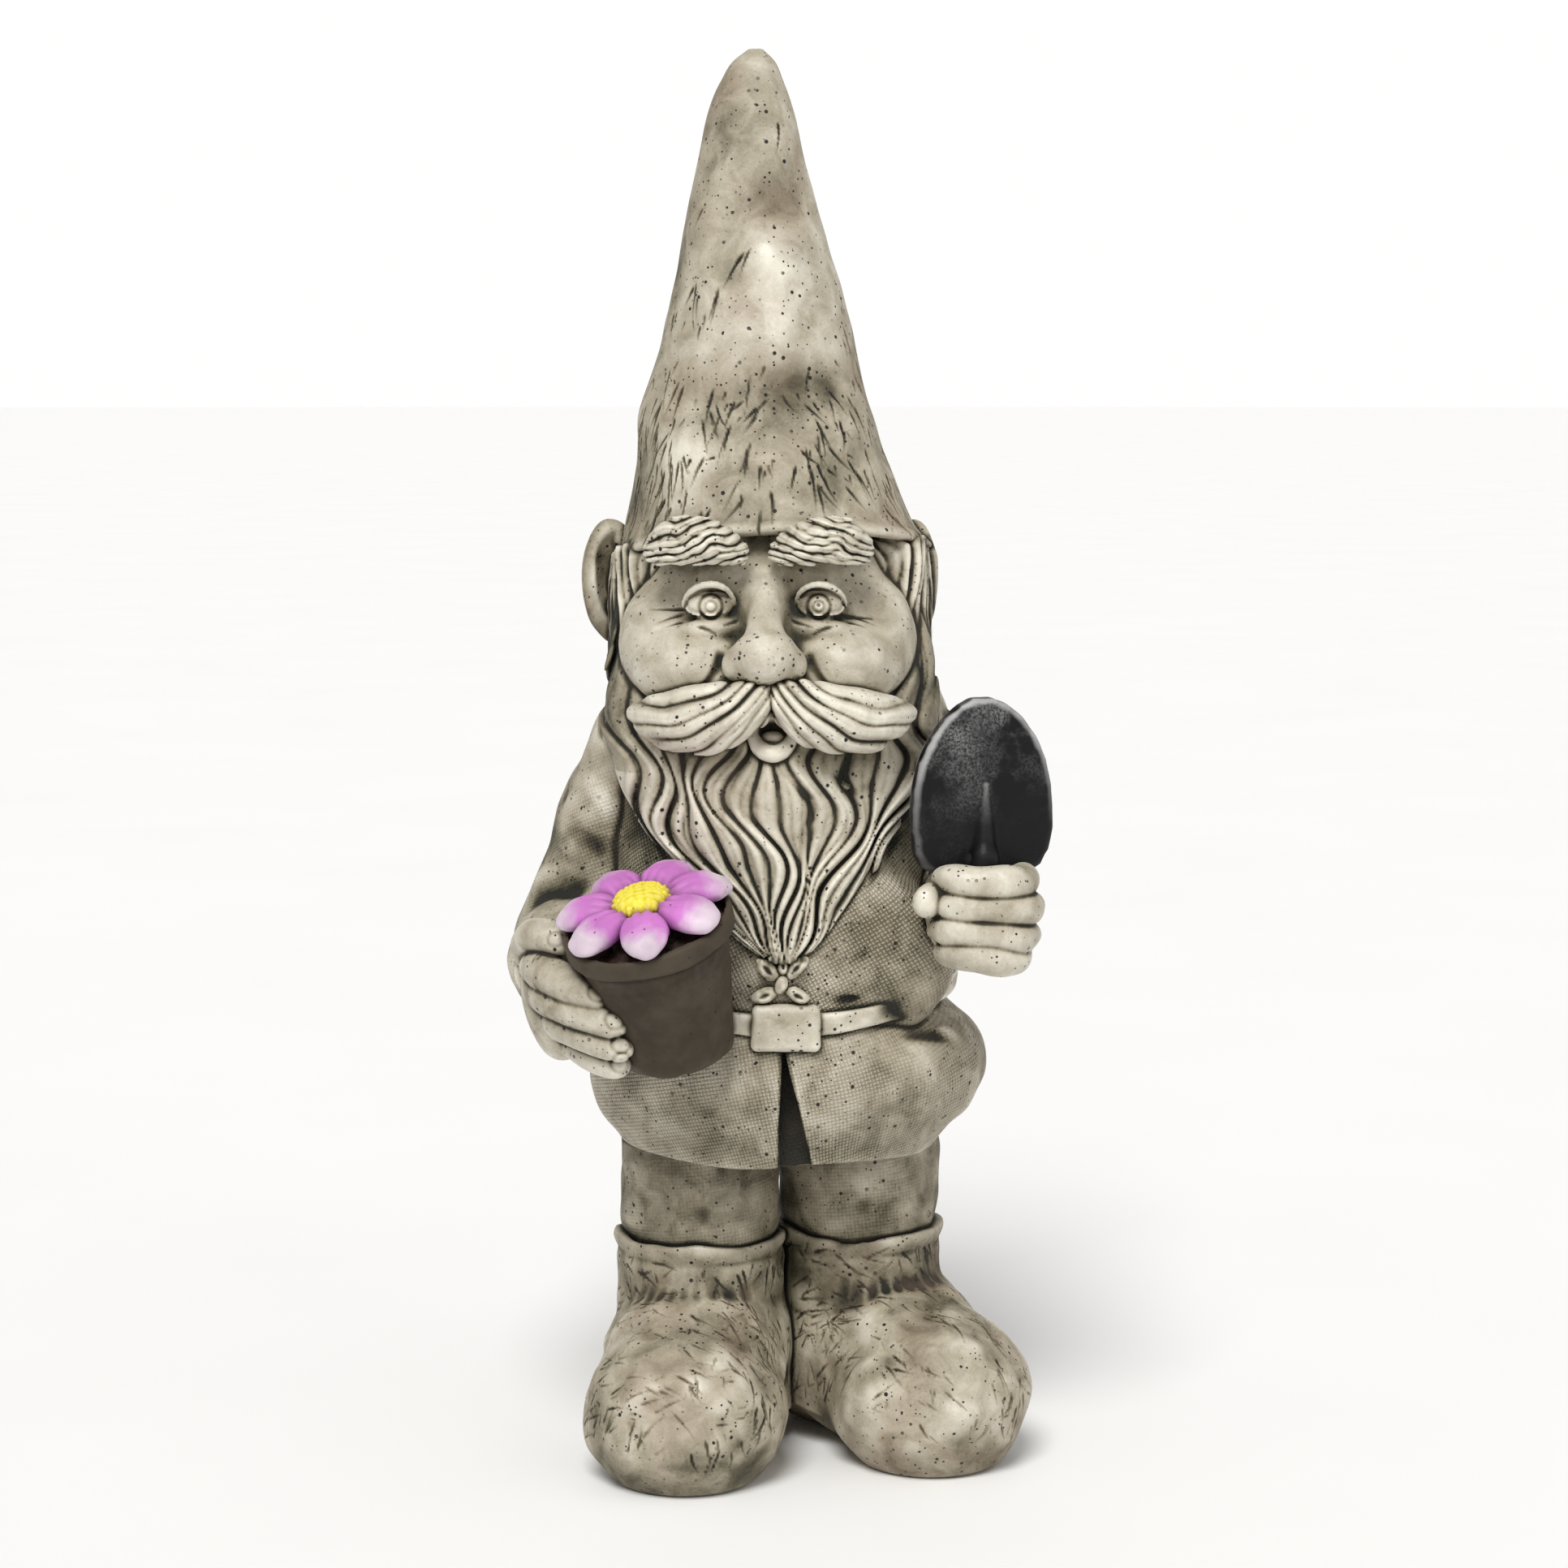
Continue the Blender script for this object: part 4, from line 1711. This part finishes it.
def model_boots():
    for name, ankle, toe_out, seed in (
        ("right_boot", RIGHT_ANKLE, -6.0, 171),
        ("left_boot", LEFT_ANKLE, 33.0, 175),
    ):
        turn = math.radians(toe_out)
        ahead = np.array((math.sin(turn), -math.cos(turn)))
        aside = np.array((math.cos(turn), math.sin(turn)))

        def at(distance, z, sideways=0.0):
            spot = np.array(ankle) + ahead * distance + aside * sideways
            return (spot[0], spot[1], z)

        reach = [at(d, 0, s) for d in (-84, 136) for s in (-60, 60)]
        low = (min(p[0] for p in reach) - 2, min(p[1] for p in reach) - 2, -4)
        high = (max(p[0] for p in reach) + 2, max(p[1] for p in reach) + 2, CUFF + 8)
        clay = Clay(low, high, 1.1)
        heading = (0, 0, toe_out)
        clay.add(egg(at(-32, 38), (46, 48, 42), heading), 0)
        clay.add(egg(at(18, 48), (51, 54, 52), heading), 14)
        clay.add(egg(at(73, 37), (57, 57, 51), heading), 14)
        clay.add(egg(at(38, 62), (46, 44, 40), heading), 14)
        shaft = [(24, 51, 50), (60, 51, 50), (90, 48.5, 48.5), (CUFF - 2, 47.5, 47.5)]
        clay.add(stack([(z, *ankle, w, d) for z, w, d in shaft]), 12)
        # shallow fold where the foot bends, then the cuff's lip
        fold = curve([at(34, 99, -46), at(51, 96, -20), at(54, 95, 8), at(38, 99, 44)], 4)
        clay.relief(fold_lines([(start, end, 7, -1.1) for start, end in zip(fold, fold[1:])]), tone=0.05)
        lip = CUFF - 4
        clay.relief(lambda x, y, z: hump(z - lip, 3.0) - hump(z - lip + 7, 2.5))
        opening = ((CUFF - 14, 41), (CUFF - 4, 43.5), (CUFF + 12, 44.5))
        clay.cut(stack([(z, *ankle, radius, radius) for z, radius in opening]), 1.5)

        def lumps(x, y, z, seed=seed):
            broad = 2.4 * noise(x / 26, y / 26, z / 22, seed) + 1.2 * noise(x / 12, y / 12, z / 11, seed + 1)
            return broad * np.clip(z / 20, 0, 1)

        clay.relief(lumps, tone=0.16)
        clay.trim(lambda x, y, z: -z, 2.5)

        def marks(points, normals, seed=seed):
            def flow(point, rng):
                side = math.atan2(point[0] - ankle[0] - ahead[0] * 50, point[2] - 30)
                return np.array((math.cos(side) * 0.6, -0.3, -math.sin(side) - 0.5))

            def upper(p, n):
                patchy = noise(p[:, 0] / 16, p[:, 1] / 16, p[:, 2] / 16, seed + 3) > -0.3
                return (n[:, 2] > -0.3) & (p[:, 2] > 10) & (p[:, 2] < CUFF - 10) & patchy

            depth = sizes().scratch_depth
            combed = random_marks(points, normals, 330, flow, seed, (9, 22), (0.6, 1.1), depth, upper, 0.35)
            depth = depth * 0.7
            stray = random_marks(points, normals, 230, flow, seed + 1, (6, 15), (0.5, 1.0), depth, upper, 1.2)
            return combed + stray

        def low_parts(points):
            x, y, z = points.T
            toe = np.exp(-(((x - at(92, 0)[0]) / 34) ** 2) - ((z - 62) / 26) ** 2) * (y < 0)
            low, high = np.clip((34 - z) / 30, 0, 1), np.clip((z - 84) / 20, 0, 1)
            return 0.22 * low + 0.20 * high - 0.25 * toe

        cast(name, clay, boot_stone(), "boot_stone", [name], marks, broad=7.0, stain=low_parts)


# ---------------------------------------------------------------- steel and the stage


def finish_steel():
    """A plain finish for the bars inside, which only show if the casting is taken apart."""
    n = Nodes("Steel bar")
    grain = n.lumps(900, 2.0)
    rust = n.ramp(n.lumps(160, 3.0), [(0.55, 0.0), (0.75, 1.0)])
    paint = n.mix(n.scale(rust, 0.5), linear((142, 142, 144)), linear((110, 74, 48)))
    material = n.surface(paint, n.ramp(grain, [(0.3, 0.35), (0.7, 0.55)]), n.bump(grain, 0.0002, 0.4), 0.5)
    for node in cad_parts.values():
        if not node.hide_render:
            node.data.materials.clear()
            node.data.materials.append(material)


CAMERA_DISTANCE, CAMERA_HEIGHT = 2.0, 0.62  # m, in front of the figure's axis and above the floor
CAMERA_DOWN = 6.7  # degrees
CAMERA_LENS, CAMERA_SENSOR = 80.7, 36  # mm


def set_stage():
    mesh = bpy.data.meshes.new("floor")
    radius, count = 60.0, 96
    turns = [2 * math.pi * i / count for i in range(count)]
    rim = [(radius * math.cos(a), radius * math.sin(a), 0) for a in turns]
    mesh.from_pydata(rim, [], [tuple(range(count))])
    floor = bpy.data.objects.new("floor", mesh)
    bpy.context.scene.collection.objects.link(floor)
    n = Nodes("Pale floor")
    patch = n.lumps(3, 2.0)
    pale = n.ramp(patch, [(0.2, 0.93), (0.8, 0.96)])
    mesh.materials.append(n.surface(pale, 0.8, n.bump(patch, 0.0005, 0.1), 0.2))

    # a soft grey studio with one white screen behind the figure
    world = bpy.data.worlds.new("Studio")
    world.use_nodes = True
    tree = world.node_tree
    backdrop = tree.nodes["Background"]
    backdrop.inputs["Color"].default_value = (1.0, 0.995, 0.98, 1)
    heading = tree.nodes.new("ShaderNodeTexCoord")
    split = tree.nodes.new("ShaderNodeSeparateXYZ")
    tree.links.new(heading.outputs["Generated"], split.inputs[0])
    screen = tree.nodes.new("ShaderNodeMapRange")
    for key, value in (("From Min", 0.86), ("From Max", 0.93), ("To Min", 0.42), ("To Max", 1.02)):
        screen.inputs[key].default_value = value
    tree.links.new(split.outputs[1], screen.inputs["Value"])
    tree.links.new(screen.outputs[0], backdrop.inputs["Strength"])
    bpy.context.scene.world = world

    def lamp(name, energy, direction, **settings):
        light = bpy.data.lights.new(name, "SUN")
        light.energy = energy
        for key, value in settings.items():
            setattr(light, key, value)
        made = bpy.data.objects.new(name, light)
        made.rotation_euler = Vector(direction).to_track_quat("-Z", "Y").to_euler()
        bpy.context.scene.collection.objects.link(made)

    lamp("key", 2.3, (0.12, 0.62, -0.80), angle=math.radians(24), color=(1.0, 0.99, 0.97))
    lamp("fill", 0.35, (-0.75, 0.5, -0.35), angle=math.radians(60))

    view = bpy.data.cameras.new("camera")
    view.sensor_width = CAMERA_SENSOR
    view.lens = CAMERA_LENS
    view.clip_end = 200
    camera = bpy.data.objects.new("camera", view)
    camera.location = (0, AXIS.y - CAMERA_DISTANCE, CAMERA_HEIGHT)
    camera.rotation_euler = (math.radians(90 - CAMERA_DOWN), 0, 0)
    bpy.context.scene.collection.objects.link(camera)
    bpy.context.scene.camera = camera
    bpy.context.scene.view_settings.view_transform = "Standard"


# ---------------------------------------------------------------- operators


class GNOME_OT_hat(bpy.types.Operator):
    """Models the tall hat with its lumps, lip and carved strokes"""

    bl_idname = "gnome.hat"
    bl_label = "Hat"

    def execute(self, context):
        model_hat()
        return {"FINISHED"}


class GNOME_OT_head(bpy.types.Operator):
    """Models the head, the eyes, nose, cheeks and mouth"""

    bl_idname = "gnome.head"
    bl_label = "Head and face"

    def execute(self, context):
        model_head()
        return {"FINISHED"}


class GNOME_OT_ears(bpy.types.Operator):
    """Models both hollowed ears"""

    bl_idname = "gnome.ears"
    bl_label = "Ears"

    def execute(self, context):
        model_ears()
        return {"FINISHED"}


class GNOME_OT_brows(bpy.types.Operator):
    """Models both bushy eyebrows"""

    bl_idname = "gnome.brows"
    bl_label = "Eyebrows"

    def execute(self, context):
        model_brows()
        return {"FINISHED"}


class GNOME_OT_moustache(bpy.types.Operator):
    """Models the two lobes of the moustache"""

    bl_idname = "gnome.moustache"
    bl_label = "Moustache"

    def execute(self, context):
        model_moustache()
        return {"FINISHED"}


class GNOME_OT_beard(bpy.types.Operator):
    """Models the wavy locks of the beard"""

    bl_idname = "gnome.beard"
    bl_label = "Beard"

    def execute(self, context):
        model_beard()
        return {"FINISHED"}


class GNOME_OT_hair(bpy.types.Operator):
    """Models the hair behind and beside the face"""

    bl_idname = "gnome.hair"
    bl_label = "Hair"

    def execute(self, context):
        model_hair()
        return {"FINISHED"}


class GNOME_OT_jacket(bpy.types.Operator):
    """Models the jacket and its collar"""

    bl_idname = "gnome.jacket"
    bl_label = "Jacket"

    def execute(self, context):
        model_jacket()
        return {"FINISHED"}


class GNOME_OT_skirt(bpy.types.Operator):
    """Models the jacket's skirt with its slit and hem"""

    bl_idname = "gnome.skirt"
    bl_label = "Skirt"

    def execute(self, context):
        model_skirt()
        return {"FINISHED"}


class GNOME_OT_belt(bpy.types.Operator):
    """Models the belt and the plain buckle plate"""

    bl_idname = "gnome.belt"
    bl_label = "Belt and buckle"

    def execute(self, context):
        model_belt()
        return {"FINISHED"}


class GNOME_OT_bow(bpy.types.Operator):
    """Models the small bow above the buckle"""

    bl_idname = "gnome.bow"
    bl_label = "Lace bow"

    def execute(self, context):
        model_bow()
        return {"FINISHED"}


class GNOME_OT_sleeves(bpy.types.Operator):
    """Models both sleeves"""

    bl_idname = "gnome.sleeves"
    bl_label = "Sleeves"

    def execute(self, context):
        model_sleeves()
        return {"FINISHED"}


class GNOME_OT_right_hand(bpy.types.Operator):
    """Models the hand that holds the pot"""

    bl_idname = "gnome.right_hand"
    bl_label = "Right hand"

    def execute(self, context):
        model_right_hand()
        return {"FINISHED"}


class GNOME_OT_left_hand(bpy.types.Operator):
    """Models the fist that holds the trowel"""

    bl_idname = "gnome.left_hand"
    bl_label = "Left hand"

    def execute(self, context):
        model_left_hand()
        return {"FINISHED"}


class GNOME_OT_pot(bpy.types.Operator):
    """Models the flower pot and its soil"""

    bl_idname = "gnome.pot"
    bl_label = "Pot and soil"

    def execute(self, context):
        model_pot()
        return {"FINISHED"}


class GNOME_OT_flower(bpy.types.Operator):
    """Models the seven petals and the flower's eye"""

    bl_idname = "gnome.flower"
    bl_label = "Flower"

    def execute(self, context):
        model_flower()
        return {"FINISHED"}


class GNOME_OT_trowel(bpy.types.Operator):
    """Models the trowel's blade and grip"""

    bl_idname = "gnome.trowel"
    bl_label = "Trowel"

    def execute(self, context):
        model_trowel()
        return {"FINISHED"}


class GNOME_OT_trousers(bpy.types.Operator):
    """Models both trouser legs"""

    bl_idname = "gnome.trousers"
    bl_label = "Trousers"

    def execute(self, context):
        model_trousers()
        return {"FINISHED"}


class GNOME_OT_boots(bpy.types.Operator):
    """Models both boots"""

    bl_idname = "gnome.boots"
    bl_label = "Boots"

    def execute(self, context):
        model_boots()
        return {"FINISHED"}


class GNOME_OT_wash(bpy.types.Operator):
    """Darkens each section where it meets another"""

    bl_idname = "gnome.wash"
    bl_label = "Wash the seams"

    def execute(self, context):
        settle_wash()
        return {"FINISHED"}


class GNOME_OT_steel(bpy.types.Operator):
    """Gives the bars inside a steel finish"""

    bl_idname = "gnome.steel"
    bl_label = "Steel bars"

    def execute(self, context):
        finish_steel()
        return {"FINISHED"}


class GNOME_OT_stage(bpy.types.Operator):
    """Sets the floor, the light and the camera"""

    bl_idname = "gnome.stage"
    bl_label = "Stage"

    def execute(self, context):
        set_stage()
        return {"FINISHED"}


OPERATORS = [
    GNOME_OT_hat,
    GNOME_OT_head,
    GNOME_OT_ears,
    GNOME_OT_brows,
    GNOME_OT_moustache,
    GNOME_OT_beard,
    GNOME_OT_hair,
    GNOME_OT_jacket,
    GNOME_OT_skirt,
    GNOME_OT_belt,
    GNOME_OT_bow,
    GNOME_OT_sleeves,
    GNOME_OT_right_hand,
    GNOME_OT_left_hand,
    GNOME_OT_pot,
    GNOME_OT_flower,
    GNOME_OT_trowel,
    GNOME_OT_trousers,
    GNOME_OT_boots,
    GNOME_OT_wash,
    GNOME_OT_steel,
    GNOME_OT_stage,
]


class GNOME_PT_panel(bpy.types.Panel):
    bl_label = "Cast stone gnome"
    bl_idname = "GNOME_PT_panel"
    bl_space_type = "VIEW_3D"
    bl_region_type = "UI"
    bl_category = "Gnome"

    def draw(self, context):
        for made in OPERATORS:
            self.layout.operator(made.bl_idname)
        for group in (context.scene.gnome_sizes, context.scene.gnome_colours):
            for key in group.bl_rna.properties.keys():
                if key not in ("rna_type", "name"):
                    self.layout.prop(group, key)


CLASSES = [GnomeSizes, GnomeColours, *OPERATORS, GNOME_PT_panel]


def register():
    for made in CLASSES:
        bpy.utils.register_class(made)
    bpy.types.Scene.gnome_sizes = bpy.props.PointerProperty(type=GnomeSizes)
    bpy.types.Scene.gnome_colours = bpy.props.PointerProperty(type=GnomeColours)


def unregister():
    del bpy.types.Scene.gnome_colours
    del bpy.types.Scene.gnome_sizes
    for made in reversed(CLASSES):
        bpy.utils.unregister_class(made)


def main():
    register()
    for made in OPERATORS:
        group, name = made.bl_idname.split(".")
        getattr(getattr(bpy.ops, group), name)()


if __name__ == "__main__":
    main()
